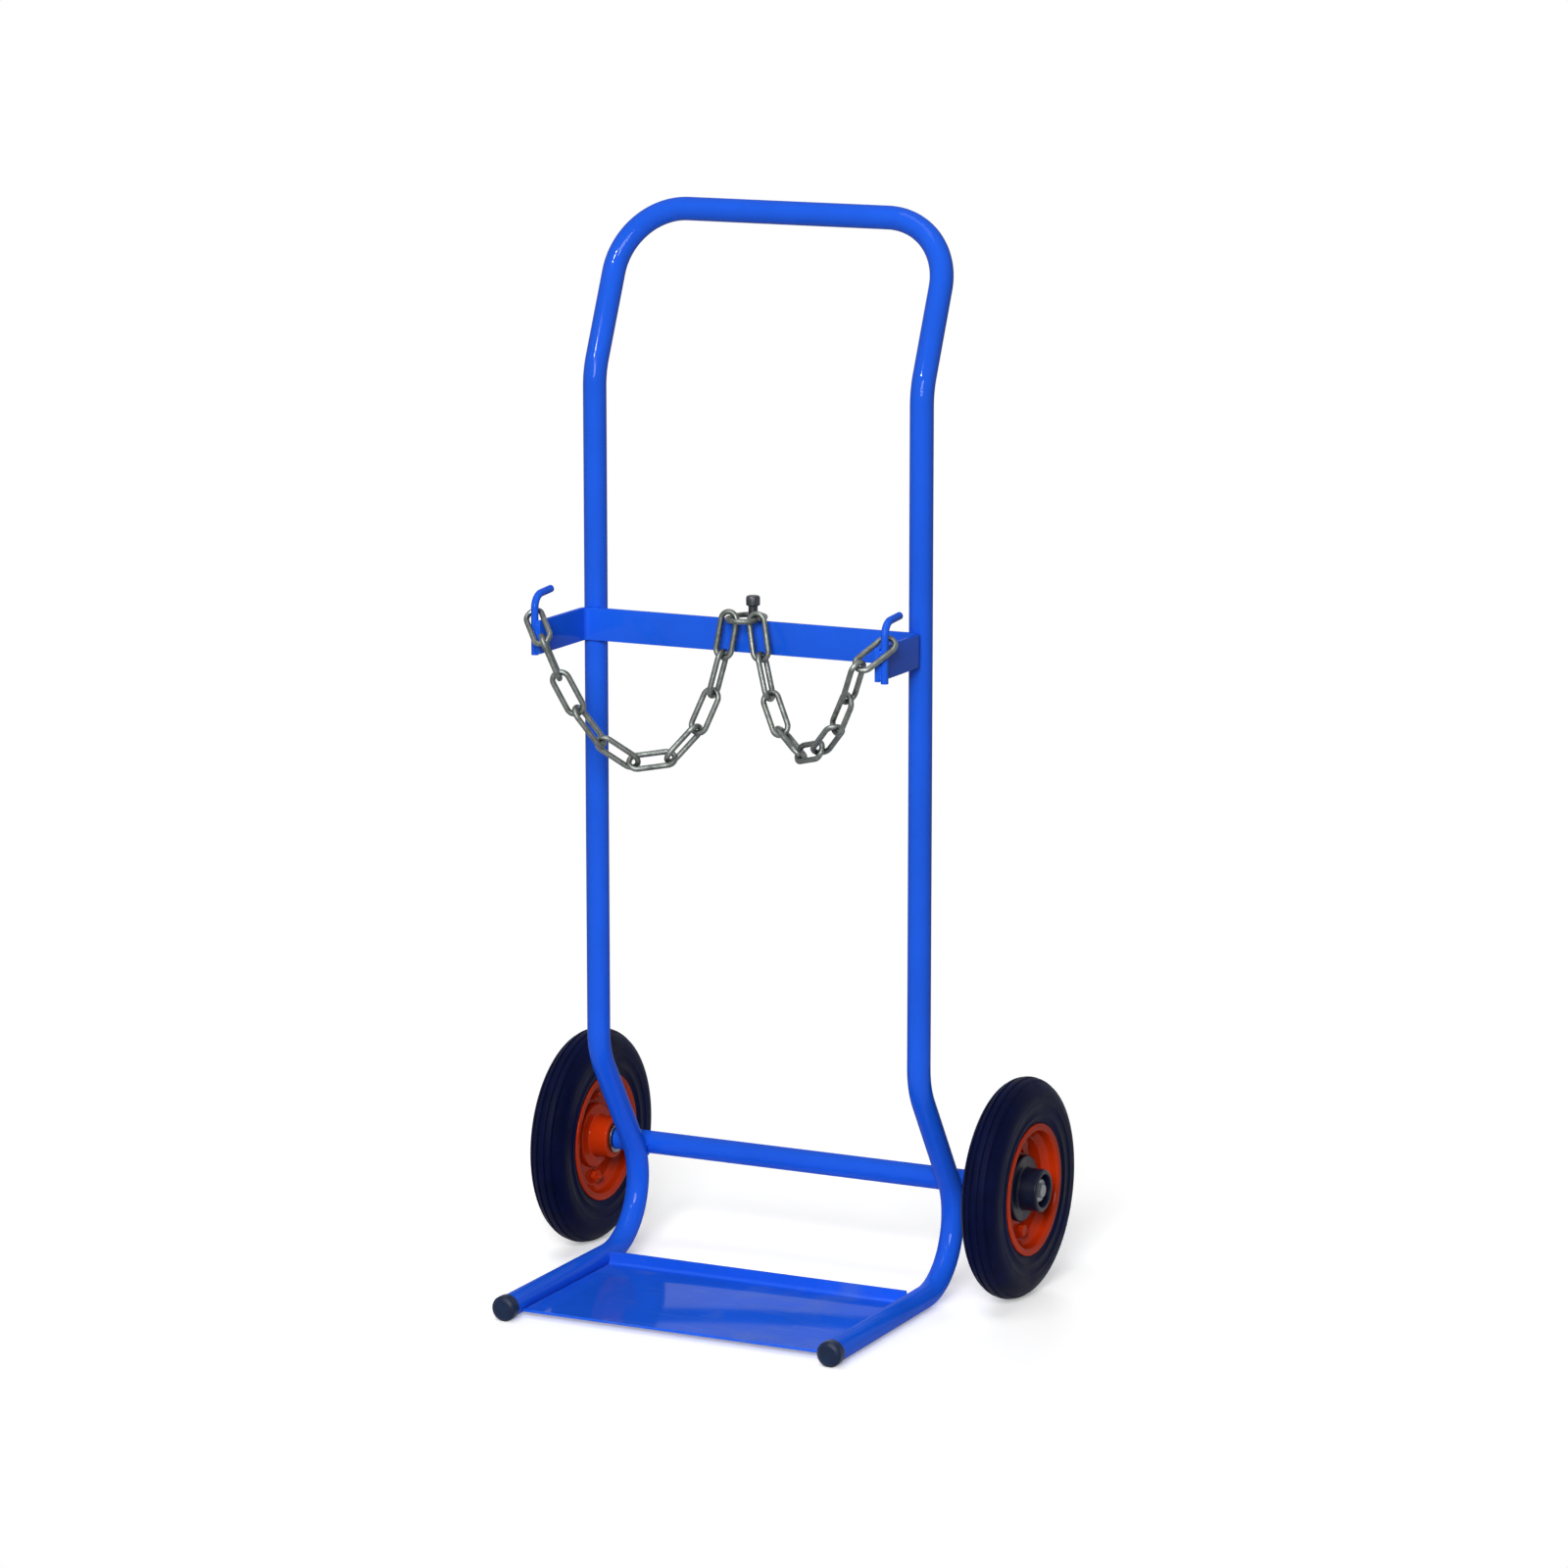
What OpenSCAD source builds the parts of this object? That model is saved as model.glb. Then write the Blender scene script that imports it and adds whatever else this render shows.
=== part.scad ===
// Gas cylinder trolley: one bent tube frame with a toe plate, a flat bar bracket with
// hooks and safety chain, and two rubber tyred wheels on a fixed axle.
// Millimetres. +Z is up, -Y is the toe side, the origin is on the ground under the middle.

/* [Frame] */
// Outer diameter of the frame tube
tube_d = 25; // [22:0.5:27]
// Wall of the frame tube
tube_wall = 2; // [1.5:0.1:2.5]
// Spacing of the uprights, centre to centre
frame_w = 382; // [360:1:410]
// Height of the top of the handle
frame_h = 1170; // [1130:1:1230]
// Height where the handle bends back
handle_bend_z = 988; // [960:1:1005]
// How far the handle bar lies behind the uprights
handle_back = 75; // [55:1:90]
// Bend radius of the handle corners
handle_corner_r = 74; // [55:1:85]
// Bend radius of the shallow bends
kink_r = 75; // [60:1:90]
// Bend radius at the back of the toe
toe_bend_r = 74; // [68:1:80]
// Lean of the lower legs from the vertical
leg_lean = 33.4; // [30:0.2:37]
// How far the toe bend lies behind the uprights
toe_depth = 90; // [84:1:96]
// How far the toe tubes reach in front of the uprights
toe_front = 219; // [200:1:235]
// How much thinner the tube wall is drawn in the bends, on each face
bend_thin = 0.2; // [0.2:0.01:0.3]
// Gap left under a weld between two round pieces
weld_gap = 0.1; // [0.05:0.05:0.3]

/* [Toe caps] */
// Wall of the plastic cap round the tube
cap_wall = 1.3; // [1:0.1:2]
// Thickness of the closed end
cap_end = 4; // [3:0.5:6]
// Length of tube that the cap covers
cap_grip = 9; // [6:1:14]
// Slip between cap and tube
cap_slip = 0.1; // [0.05:0.05:0.2]
// Chamfer round the closed end
cap_edge = 2; // [1:0.1:2.5]

/* [Toe plate] */
// Thickness of the plate
plate_t = 3; // [2:0.5:4]
// Height of the underside of the plate
plate_z = 7; // [5:0.5:9]
// Distance from the uprights to the front edge
plate_front = 199; // [180:1:205]
// Height of the turned-up rear edge
plate_lip = 17; // [12:1:22]
// Inside bend radius of the rear edge
plate_bend_r = 4; // [3:0.5:6]
// Room between plate edge and tube
plate_gap = 0.15; // [0.1:0.05:0.4]

/* [Bracket and hooks] */
// Height of the flat bar
bar_h = 35; // [30:1:40]
// Thickness of the flat bar
bar_t = 5; // [4:0.5:6]
// Height of the top edge of the bar
bar_top = 737; // [700:1:780]
// How far the bracket arms stand outside the middles of the uprights
arm_over = 8; // [1:0.5:10]
// How far the arms reach in front of the uprights
arm_reach = 120; // [110:1:130]
// Inside bend radius of the bar
bar_bend_r = 6; // [4:0.5:9]
// Diameter of the hook rods
hook_d = 8; // [7:0.5:8]
// Distance from the arm end back to the hook rod
hook_inset = 5; // [5:0.5:9]
// Length of rod below the bar
hook_tail = 2; // [1:0.5:5]
// Height of the straight rod above the bar
hook_rise = 12; // [10:1:18]
// Bend radius of the hook
hook_r = 15; // [12:0.5:18]
// Turn of the hook
hook_turn = 86; // [70:1:100]
// Length of the straight hook end
hook_end = 22; // [15:1:28]
// Diameter of the centre pin
pin_d = 10; // [8:0.5:10.5]
// Height of the pin above the bar
pin_rise = 25; // [20:1:32]
// Length of pin welded to the back of the bar
pin_weld = 26; // [18:1:29]
// Diameter of the pin head
pin_head_d = 15; // [13:0.5:17]
// Height of the pin head
pin_head = 11; // [8:0.5:12]
// Chamfer of the pin head
pin_head_edge = 1.5; // [1:0.1:2]

/* [Chain] */
// Diameter of the link wire
wire_d = 6; // [5.5:0.1:6.2]
// Inner length of a link
link_inner = 43; // [42:0.5:44]
// Outer width of a link
link_w = 24; // [23.6:0.1:24.4]
// Free links in the left run
left_links = 9; // [9:1:9]
// Free links in the right run
right_links = 8; // [8:1:8]
// Play between two links
link_play = 0.5; // [0.45:0.05:0.55]
// Further play where two links meet at an angle
link_turn_play = 8; // [7.5:0.1:8.5]
// Play at the two held ends of a run
held_play = 0.9; // [0.85:0.01:0.95]
// Outer width of the middle ring
ring_w = 38; // [37:0.5:39]
// Fall of the end links from the horizontal
end_link_fall = 32; // [30:1:33]
// Roll of the end links, with the front wire hanging lower
end_link_roll = 35; // [30:1:35]
// Distance from a hook rod to the far end of its link
end_link_back = 11.3; // [11.2:0.1:12]
// Turn of the left end link in from straight ahead
left_end_turn = 46; // [44:1:48]
// Turn of the right end link in from straight ahead
right_end_turn = 35; // [33:1:37]
// Twist of the middle of the left run
left_twist = 10; // [8:1:14]
// Twist of the middle of the right run
right_twist = -20; // [-24:1:-16]

/* [Wheels] */
// Diameter of the tyre
tyre_d = 240; // [230:1:246]
// Width of the tyre
tyre_w = 42; // [41:0.5:46]
// Height of the tyre foot above the rim flange
tyre_foot = 4; // [3:0.1:5]
// How far the sidewall slopes in towards the foot
tyre_slope = 2; // [1.5:0.1:2.5]
// How far the sidewall starts inside the widest line
tyre_side_in = 0.4; // [0.3:0.1:0.6]
// Distance between the middles of the two wheels
wheel_track = 518; // [510:1:540]
// Diameter of the rim flange
rim_flange_d = 143; // [138:1:148]
// Width over the rim flanges
rim_w = 39; // [37:0.5:41]
// Thickness of the rim sheet
rim_t = 2; // [1.5:0.1:2.5]
// Radius of the bed that the tyre sits on
rim_bed_r = 63; // [61:0.5:64]
// Radius of the flat disc of the rim
rim_disc_r = 56; // [54:0.5:57]
// Chamfer inside the rim flange
rim_lip_edge = 2; // [1:0.1:3]
// Room between the rim flange and the tyre above it
rim_lip_gap = 1; // [0.5:0.1:1.5]
// Room between tyre, rim and hub where they seat
seat_gap = 0.1; // [0.05:0.05:0.2]
// Depth of a tread groove
groove_depth = 2; // [1:0.1:3]
// Width of a tread groove
groove_w = 2.4; // [1.5:0.1:3]
// Distance from the middle to the inner grooves
groove_in = 4.5; // [4:0.1:5]
// Distance from the middle to the outer grooves
groove_out = 12; // [11:0.1:13]
// Rim bolts in a wheel
rim_bolts_n = 4; // [4:1:4]
// Radius of the ring of rim bolts
rim_bolt_ring = 47; // [46:0.5:47.5]
// Turn of the ring of rim bolts from level
rim_bolt_turn = 0; // [0:1:45]
// Diameter of a rim bolt
rim_bolt_d = 8; // [6:0.5:8]
// Width across flats of the bolt head and nut
rim_bolt_flats = 13; // [12:0.5:13.5]
// Height of the bolt head and the nut
rim_bolt_head = 6; // [4:0.5:7]
// Length of bolt past the nut
rim_bolt_tail = 3; // [2:0.5:5]
// Room between bolt and hole
hole_slip = 0.3; // [0.2:0.05:0.5]

/* [Hubs and axle] */
// Diameter of the hub flange
hub_flange_d = 72; // [66:1:74]
// Thickness of the hub flange
hub_flange_t = 6; // [4:0.5:8]
// Diameter of the hub nose
hub_nose_d = 46; // [43:0.5:50]
// Distance from the wheel middle to the hub end
hub_reach = 30; // [28:0.5:33]
// Diameter of the spigot in the rim hole
hub_spigot_d = 40; // [37:0.5:42]
// Diameter of the recess in the hub end
hub_recess_d = 36; // [35:0.5:37]
// Depth of the recess in the hub end
hub_recess = 13; // [12:0.5:14]
// Depth of the recess on the inner side
hub_back_recess = 1; // [0.5:0.1:1.5]
// Chamfer of the hub flange
hub_flange_edge = 1.5; // [1:0.1:2]
// Chamfer at the root and the end of the hub nose
hub_nose_edge = 2; // [1:0.1:2.5]
// Outer diameter of a bearing bush
bush_d = 28; // [26:0.5:30]
// Gap between the two bushes
bush_gap = 1; // [0.5:0.1:2]
// Running room between axle and bush, on the radius
axle_play = 0.05; // [0.03:0.01:0.1]
// Diameter of the axle
axle_d = 20; // [18:0.5:20]
// Diameter of the axle tube
axle_tube_d = 25; // [24:0.5:27]
// Room between axle and axle tube, on the radius
axle_slip = 0.15; // [0.1:0.05:0.3]
// Thickness of the washers
washer_t = 2; // [1.5:0.1:2.5]
// Diameter of the washers
washer_d = 33; // [31:0.5:34]
// Room between a turning hub and a washer
washer_play = 0.3; // [0.2:0.05:0.5]
// Diameter of the threaded axle end
axle_thread_d = 16; // [14:0.5:16]
// Width across flats of the axle nut
axle_nut_flats = 24; // [23:0.5:26]
// Height of the axle nut
axle_nut_h = 7; // [6:0.5:8]
// Length of thread past the nut
axle_thread_tail = 3; // [2:0.5:3]

/* [Hidden] */
$fn = 96;
paint = [0.12, 0.35, 0.93];
black = [0.12, 0.12, 0.14];
steel = [0.62, 0.63, 0.64];
chain_grey = [0.42, 0.44, 0.43];
red = [0.8, 0.16, 0.05];

tube_r = tube_d / 2;
cap_r = tube_r + cap_slip + cap_wall;
side_x = frame_w / 2;
tube_z = cap_r;

// Path of one side of the frame, y from the uprights and z from the ground
run_lap = 0.5;
bend_y = toe_depth - toe_bend_r;
bend_z = tube_z + toe_bend_r;
leg_y = bend_y + toe_bend_r * cos(leg_lean);
leg_z = bend_z + toe_bend_r * sin(leg_lean);
kink_z = leg_z + leg_y / tan(leg_lean);
kink_cut = kink_r * tan(leg_lean / 2);
bar_z = frame_h - tube_r;
crank = atan(handle_back / (bar_z - handle_bend_z));
crank_cut = kink_r * tan(crank / 2);
handle_len = handle_back / sin(crank);
handle_dir = 90 - crank;

// Axle and wheels
axle_z = tyre_d / 2;
axle_gap = toe_bend_r + tube_r + axle_tube_d / 2 + weld_gap;
axle_y = bend_y + sqrt(axle_gap * axle_gap - (axle_z - bend_z) * (axle_z - bend_z));
wheel_x = wheel_track / 2;
axle_tube_end = wheel_x - hub_reach - 2 * washer_play - washer_t;
nut_seat = hub_reach - hub_recess + washer_play + washer_t;
hex_corner = 2 / sqrt(3);

// The uprights stand off the middle so that the box of the whole trolley is centred
upright_y = (toe_front + cap_end - axle_y - tyre_d / 2) / 2;

// Bracket
bar_back = -tube_r - weld_gap;
bar_front = bar_back - bar_t;
arm_out = side_x + arm_over;
arm_in = arm_out - bar_t;
hook_x = arm_out + hook_d / 2 + weld_gap;
hook_y = -arm_reach + hook_inset;
pin_y = bar_back + pin_d / 2 + weld_gap;

// Chain, with each link known by the middles of the wire at its two ends
wire_r = wire_d / 2;
link_turn_r = (link_w - wire_d) / 2;
link_len = link_inner + wire_d;
hold_gap = wire_d + link_play;
held_gap = wire_d + held_play;
ring_turn_r = (ring_w - wire_d) / 2;
ring_z = bar_top + wire_r + weld_gap;
ring_back = pin_y + pin_d / 2 + wire_r + link_play;
hold_in = [-ring_turn_r, ring_back - link_len + ring_turn_r, ring_z];

// Way along an end link on the left hook, and across it to its higher wire
function end_along(turn) = [cos(end_link_fall) * sin(turn), -cos(end_link_fall) * cos(turn),
    -sin(end_link_fall)];
function end_above(turn) = [sin(end_link_fall) * sin(turn), -sin(end_link_fall) * cos(turn),
    cos(end_link_fall)];
function end_across(turn) = cos(end_link_roll) * [cos(turn), sin(turn), 0]
    + sin(end_link_roll) * end_above(turn);
// Slope at which the higher wire crosses the arm, and height of the link where it passes the rod
function end_slope(turn) = atan(tan(end_link_fall) / sin(turn));
function end_lift(turn) = (wire_r + weld_gap) / cos(end_slope(turn)) - link_turn_r * end_across(turn)[2]
    + (hook_x - arm_in - link_turn_r * end_across(turn)[0]) * tan(end_slope(turn));
function end_place(turn) = [-hook_x, hook_y, bar_top + end_lift(turn)];
function hold_out(turn) = end_place(turn) + (link_len - end_link_back) * end_along(turn);
// Roll of a link, heading by yaw and rising by pitch, that lies square to the wire it holds
function square_roll(wire, yaw, pitch) = atan2(wire * [sin(yaw), -cos(yaw), 0],
    wire * [-sin(pitch) * cos(yaw), -sin(pitch) * sin(yaw), cos(pitch)]);

// Slope of link i in a run of n links that hangs evenly, steeper with k
function slope(i, n, k) = atan(k * (i - (n - 1) / 2));
// Slope of the line between the wires of links i - 1 and i
function hold_slope(i, n, k) = i == 0 ? slope(0, n, k)
    : i == n ? slope(n - 1, n, k)
    : (slope(i - 1, n, k) + slope(i, n, k)) / 2;
// Distance between the wires of links i - 1 and i
function hold(i, n, k) = i == 0 || i == n ? held_gap
    : hold_gap + link_turn_play * (1 - cos(slope(i, n, k) - slope(i - 1, n, k)));
// Start of link i along and below the line between the two held ends
function run_x(i, n, k) = (i == 0 ? 0 : run_x(i - 1, n, k) + link_len * cos(slope(i - 1, n, k)))
    - hold(i, n, k) * cos(hold_slope(i, n, k));
function run_z(i, n, k) = (i == 0 ? 0 : run_z(i - 1, n, k) + link_len * sin(slope(i - 1, n, k)))
    - hold(i, n, k) * sin(hold_slope(i, n, k));
// Steepness that makes a run of n links span the given distance
function steepness(n, span, low = 0.05, high = 6, tries = 40) = tries == 0 ? (low + high) / 2
    : run_x(n, n, (low + high) / 2) > span ? steepness(n, span, (low + high) / 2, high, tries - 1)
    : steepness(n, span, low, (low + high) / 2, tries - 1);

module stand() {
    translate([0, upright_y, 0]) children();
}

module pipe_ring(d, wall) {
    difference() {
        circle(d = d);
        circle(d = d - 2 * wall);
    }
}

// A straight run from y, z, reaching a little into the bends before and after it
module frame_run(y, z, heading, len, before = run_lap) {
    translate([side_x, y, z]) rotate([heading - 90, 0, 0]) translate([0, 0, -before])
        linear_extrude(len + before + run_lap) pipe_ring(tube_d, tube_wall);
}

module bend_ring(r) {
    translate([r, 0]) pipe_ring(tube_d - 2 * bend_thin, tube_wall - 2 * bend_thin);
}

module frame_bend(y, z, start, turn, r) {
    translate([side_x, y, z]) rotate([90, 0, 90]) rotate([0, 0, start]) rotate_extrude(angle = turn) bend_ring(r);
}

module frame_side() {
    frame_run(-toe_front, tube_z, 0, toe_front + bend_y, 0);
    frame_bend(bend_y, bend_z, -90, 90 + leg_lean, toe_bend_r);
    frame_run(leg_y, leg_z, 90 + leg_lean, leg_y / sin(leg_lean) - kink_cut);
    frame_bend(kink_r, kink_z + kink_cut, 180, leg_lean, kink_r);
    frame_run(0, kink_z + kink_cut, 90, handle_bend_z - crank_cut - kink_z - kink_cut);
    frame_bend(kink_r, handle_bend_z - crank_cut, 180 - crank, crank, kink_r);
    frame_run(crank_cut * sin(crank), handle_bend_z + crank_cut * cos(crank), handle_dir,
        handle_len - crank_cut - handle_corner_r);
    translate([side_x - handle_corner_r, handle_back - handle_corner_r * sin(crank),
        bar_z - handle_corner_r * cos(crank)])
        rotate([handle_dir, 0, 0]) rotate_extrude(angle = 90) bend_ring(handle_corner_r);
}

module frame_tube() {
    color(paint) stand() {
        frame_side();
        mirror([1, 0, 0]) frame_side();
        translate([0, handle_back, bar_z]) rotate([0, 90, 0])
            linear_extrude(2 * (side_x - handle_corner_r + run_lap), center = true) pipe_ring(tube_d, tube_wall);
    }
}

module toe_cap(side) {
    color(black) stand() translate([side * side_x, -toe_front - cap_end, tube_z]) rotate([-90, 0, 0])
        rotate_extrude() polygon([
            [0, 0], [cap_r - cap_edge, 0], [cap_r, cap_edge], [cap_r, cap_end + cap_grip],
            [tube_r + cap_slip, cap_end + cap_grip], [tube_r + cap_slip, cap_end], [0, cap_end]]);
}

module left_toe_cap() {
    toe_cap(-1);
}

module right_toe_cap() {
    toe_cap(1);
}

module toe_plate() {
    half = side_x - tube_r - plate_gap;
    lip_r = plate_bend_r + plate_t;
    color(paint) stand() {
        translate([-half, -plate_front, plate_z]) cube([2 * half, plate_front - lip_r, plate_t]);
        translate([-half, -lip_r, plate_z + lip_r]) rotate([90, 0, 90]) linear_extrude(2 * half)
            intersection() {
                pipe_ring(2 * lip_r, plate_t);
                translate([0, -lip_r]) square(lip_r);
            }
        translate([-half, -plate_t, plate_z + lip_r]) cube([2 * half, plate_t, plate_lip - lip_r]);
    }
}

module axle_tube() {
    bore = axle_d + 2 * axle_slip;
    color(paint) stand() translate([-axle_tube_end, axle_y, axle_z]) rotate([0, 90, 0])
        linear_extrude(2 * axle_tube_end) pipe_ring(axle_tube_d, (axle_tube_d - bore) / 2);
}

module axle_rod() {
    full = wheel_x + nut_seat - washer_t;
    end = wheel_x + nut_seat + axle_nut_h + axle_thread_tail;
    color(steel) stand() translate([0, axle_y, axle_z]) rotate([0, 90, 0]) {
        cylinder(d = axle_d, h = 2 * full, center = true);
        cylinder(d = axle_thread_d, h = 2 * end, center = true);
    }
}

// A flat ring on the axle, its inner face x from the middle of the trolley
module axle_ring(x, thick, outer, inner) {
    translate([x, axle_y, axle_z]) rotate([0, 90, 0]) linear_extrude(thick) difference() {
        circle(d = outer);
        circle(d = inner);
    }
}

module inner_washers() {
    at = axle_tube_end + washer_play;
    color(steel) stand() {
        axle_ring(at, washer_t, washer_d, axle_d + 2 * axle_slip);
        mirror([1, 0, 0]) axle_ring(at, washer_t, washer_d, axle_d + 2 * axle_slip);
    }
}

module outer_washers() {
    at = wheel_x + nut_seat - washer_t;
    color(steel) stand() {
        axle_ring(at, washer_t, washer_d, axle_thread_d);
        mirror([1, 0, 0]) axle_ring(at, washer_t, washer_d, axle_thread_d);
    }
}

module axle_nut() {
    translate([wheel_x + nut_seat, axle_y, axle_z]) rotate([0, 90, 0]) linear_extrude(axle_nut_h) difference() {
        circle(d = axle_nut_flats * hex_corner, $fn = 6);
        circle(d = axle_thread_d);
    }
}

module axle_nuts() {
    color(steel) stand() {
        axle_nut();
        mirror([1, 0, 0]) axle_nut();
    }
}

module bracket_side() {
    turn_r = bar_bend_r + bar_t;
    translate([0, bar_front, bar_top - bar_h]) cube([arm_out - turn_r, bar_t, bar_h]);
    translate([arm_out - turn_r, bar_back - turn_r, bar_top - bar_h]) linear_extrude(bar_h) intersection() {
        pipe_ring(2 * turn_r, bar_t);
        square(turn_r);
    }
    translate([arm_in, -arm_reach, bar_top - bar_h]) cube([bar_t, arm_reach + bar_back - turn_r, bar_h]);
}

module bracket() {
    color(paint) stand() {
        bracket_side();
        mirror([1, 0, 0]) bracket_side();
    }
}

// A round rod on the outer face of a bracket arm that bends back above the bar
module hook(side) {
    foot = bar_top - bar_h - hook_tail;
    color(paint) stand() translate([side * hook_x, hook_y, 0]) {
        translate([0, 0, foot]) cylinder(d = hook_d, h = bar_top + hook_rise - foot);
        translate([0, hook_r, bar_top + hook_rise]) rotate([0, -90, 0]) rotate([0, 0, -90]) {
            rotate_extrude(angle = hook_turn) translate([hook_r, 0]) circle(d = hook_d);
            rotate([0, 0, hook_turn]) translate([hook_r, 0, 0]) rotate([-90, 0, 0])
                cylinder(d = hook_d, h = hook_end);
        }
    }
}

module left_hook() {
    hook(-1);
}

module right_hook() {
    hook(1);
}

module centre_pin() {
    pin_r = pin_d / 2;
    head_r = pin_head_d / 2;
    neck = pin_weld + pin_rise - pin_head;
    top = pin_weld + pin_rise;
    color(steel) stand() translate([0, pin_y, bar_top - pin_weld]) rotate_extrude() polygon([
        [0, 0], [pin_r, 0], [pin_r, neck], [head_r - pin_head_edge, neck], [head_r, neck + pin_head_edge],
        [head_r, top - pin_head_edge], [head_r - pin_head_edge, top], [0, top]]);
}

// A link along +X, from the middle of the wire at one end to the middle of the wire at the other
module link(turn_r) {
    straight = link_len - 2 * turn_r;
    translate([turn_r, 0, 0]) {
        rotate([0, 0, 90]) rotate_extrude(angle = 180) translate([turn_r, 0]) circle(d = wire_d);
        translate([straight, 0, 0]) rotate([0, 0, -90]) rotate_extrude(angle = 180)
            translate([turn_r, 0]) circle(d = wire_d);
        for (y = [-turn_r, turn_r])
            translate([0, y, 0]) rotate([0, 90, 0]) cylinder(d = wire_d, h = straight);
    }
}

module middle_ring() {
    color(chain_grey) stand() translate([0, ring_back, ring_z]) rotate([0, 0, -90]) link(ring_turn_r);
}

// A link on the left hook, its far end behind the rod and its near end low in front of the arm
module end_link(turn) {
    color(chain_grey) stand() translate(end_place(turn)) rotate([0, end_link_fall, turn - 90])
        rotate([end_link_roll, 0, 0]) translate([-end_link_back, 0, 0]) link(link_turn_r);
}

module left_end_link() {
    end_link(left_end_turn);
}

module right_end_link() {
    mirror([1, 0, 0]) end_link(right_end_turn);
}

// Free links on the left, from the end link to the middle ring
module chain_run(n, end_turn, twist) {
    start = hold_out(end_turn);
    way = hold_in - start;
    yaw = atan2(way[1], way[0]);
    tilt = atan2(way[2], norm([way[0], way[1]]));
    k = steepness(n, norm(way));
    first_roll = square_roll(end_across(end_turn), yaw, tilt + slope(0, n, k));
    last_roll = square_roll([0, 1, 0], yaw, tilt + slope(n - 1, n, k));
    half_turns = round((90 * (n - 1) + first_roll - last_roll) / 180);
    roll_step = (last_roll - first_roll + 180 * half_turns) / (n - 1);
    color(chain_grey) stand() translate(start) rotate([0, -tilt, yaw])
        for (i = [0:n - 1])
            translate([run_x(i, n, k), 0, run_z(i, n, k)]) rotate([0, -slope(i, n, k), 0])
                rotate([first_roll + i * roll_step + twist * sin(180 * i / (n - 1)), 0, 0])
                    link(link_turn_r);
}

module left_chain() {
    chain_run(left_links, left_end_turn, left_twist);
}

module right_chain() {
    mirror([1, 0, 0]) chain_run(right_links, right_end_turn, right_twist);
}

// Wheel pieces lie along +X, with the middle of the wheel at the origin and the outer face at +X
module on_axle(side) {
    stand() translate([side * wheel_x, axle_y, axle_z]) mirror([side < 0 ? 1 : 0, 0, 0]) children();
}

module turned() {
    rotate([0, 90, 0]) rotate([0, 0, 90]) rotate_extrude() children();
}

module tyre(side) {
    half = tyre_w / 2;
    round_r = tyre_d / 2 - half;
    lip = rim_flange_d / 2;
    bead = rim_bed_r + rim_t + seat_gap;
    seat = rim_w / 2 - rim_t - seat_gap;
    color(black) on_axle(side) difference() {
        union() {
            turned() translate([round_r, 0]) circle(d = tyre_w);
            turned() polygon([
                [round_r, half - tyre_side_in], [round_r, tyre_side_in - half],
                [lip + tyre_foot, tyre_slope - half], [lip + rim_lip_gap, -seat], [bead, -seat],
                [bead, seat], [lip + rim_lip_gap, seat], [lip + tyre_foot, half - tyre_slope]]);
        }
        turned() for (x = [-groove_out, -groove_in, groove_in, groove_out])
            translate([round_r + sqrt(half * half - x * x) - groove_depth, x - groove_w / 2])
                square([tyre_w, groove_w]);
    }
}

module rim_bolt_places() {
    for (i = [0:rim_bolts_n - 1])
        rotate([rim_bolt_turn + i * 360 / rim_bolts_n, 0, 0]) translate([0, rim_bolt_ring, 0]) rotate([0, 90, 0])
            children();
}

// One pressed half of the rim on the +X side of the wheel: disc, slope, bed and flange
module rim_half() {
    back = rim_bed_r + rim_t;
    lip = rim_flange_d / 2;
    edge = rim_w / 2;
    hole = hub_spigot_d / 2 + seat_gap;
    slope_x = rim_bed_r - rim_disc_r + rim_t;
    corner = rim_t * tan(45 / 2);
    difference() {
        turned() polygon([
            [hole, 0], [rim_disc_r + corner, 0], [back, slope_x - corner], [back, edge - rim_t],
            [lip, edge - rim_t], [lip, edge], [rim_bed_r + rim_lip_edge, edge], [rim_bed_r, edge - rim_lip_edge],
            [rim_bed_r, slope_x], [rim_disc_r, rim_t], [hole, rim_t]]);
        rim_bolt_places() cylinder(d = rim_bolt_d + 2 * hole_slip, h = 3 * rim_t, center = true);
    }
}

module rim_bolts(side) {
    color(steel) on_axle(side) rim_bolt_places() {
        translate([0, 0, -rim_t - rim_bolt_head - rim_bolt_tail])
            cylinder(d = rim_bolt_d, h = 2 * rim_t + rim_bolt_head + rim_bolt_tail);
        translate([0, 0, rim_t]) cylinder(d = rim_bolt_flats * hex_corner, h = rim_bolt_head, $fn = 6);
    }
}

module rim_nuts(side) {
    color(steel) on_axle(side) rim_bolt_places() translate([0, 0, -rim_t - rim_bolt_head])
        linear_extrude(rim_bolt_head) difference() {
            circle(d = rim_bolt_flats * hex_corner, $fn = 6);
            circle(d = rim_bolt_d);
        }
}

// One half of the hub on the +X side, with a spigot in the rim and a recess for the axle end
module hub_half(recess) {
    in_r = hub_recess_d / 2;
    bush_r = bush_d / 2;
    nose_r = hub_nose_d / 2;
    flange_r = hub_flange_d / 2;
    spigot_r = hub_spigot_d / 2;
    face = rim_t + hub_flange_t;
    turned() polygon([
        [bush_r, 0], [spigot_r, 0], [spigot_r, rim_t], [flange_r, rim_t],
        [flange_r, face - hub_flange_edge], [flange_r - hub_flange_edge, face],
        [nose_r + hub_nose_edge, face], [nose_r, face + hub_nose_edge],
        [nose_r, hub_reach - hub_nose_edge], [nose_r - hub_nose_edge, hub_reach],
        [in_r, hub_reach], [in_r, hub_reach - recess], [bush_r, hub_reach - recess]]);
}

module outer_hub(side) {
    color(black) on_axle(side) hub_half(hub_recess);
}

module inner_hub(side) {
    color(red) on_axle(side) mirror([1, 0, 0]) hub_half(hub_back_recess);
}

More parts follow.
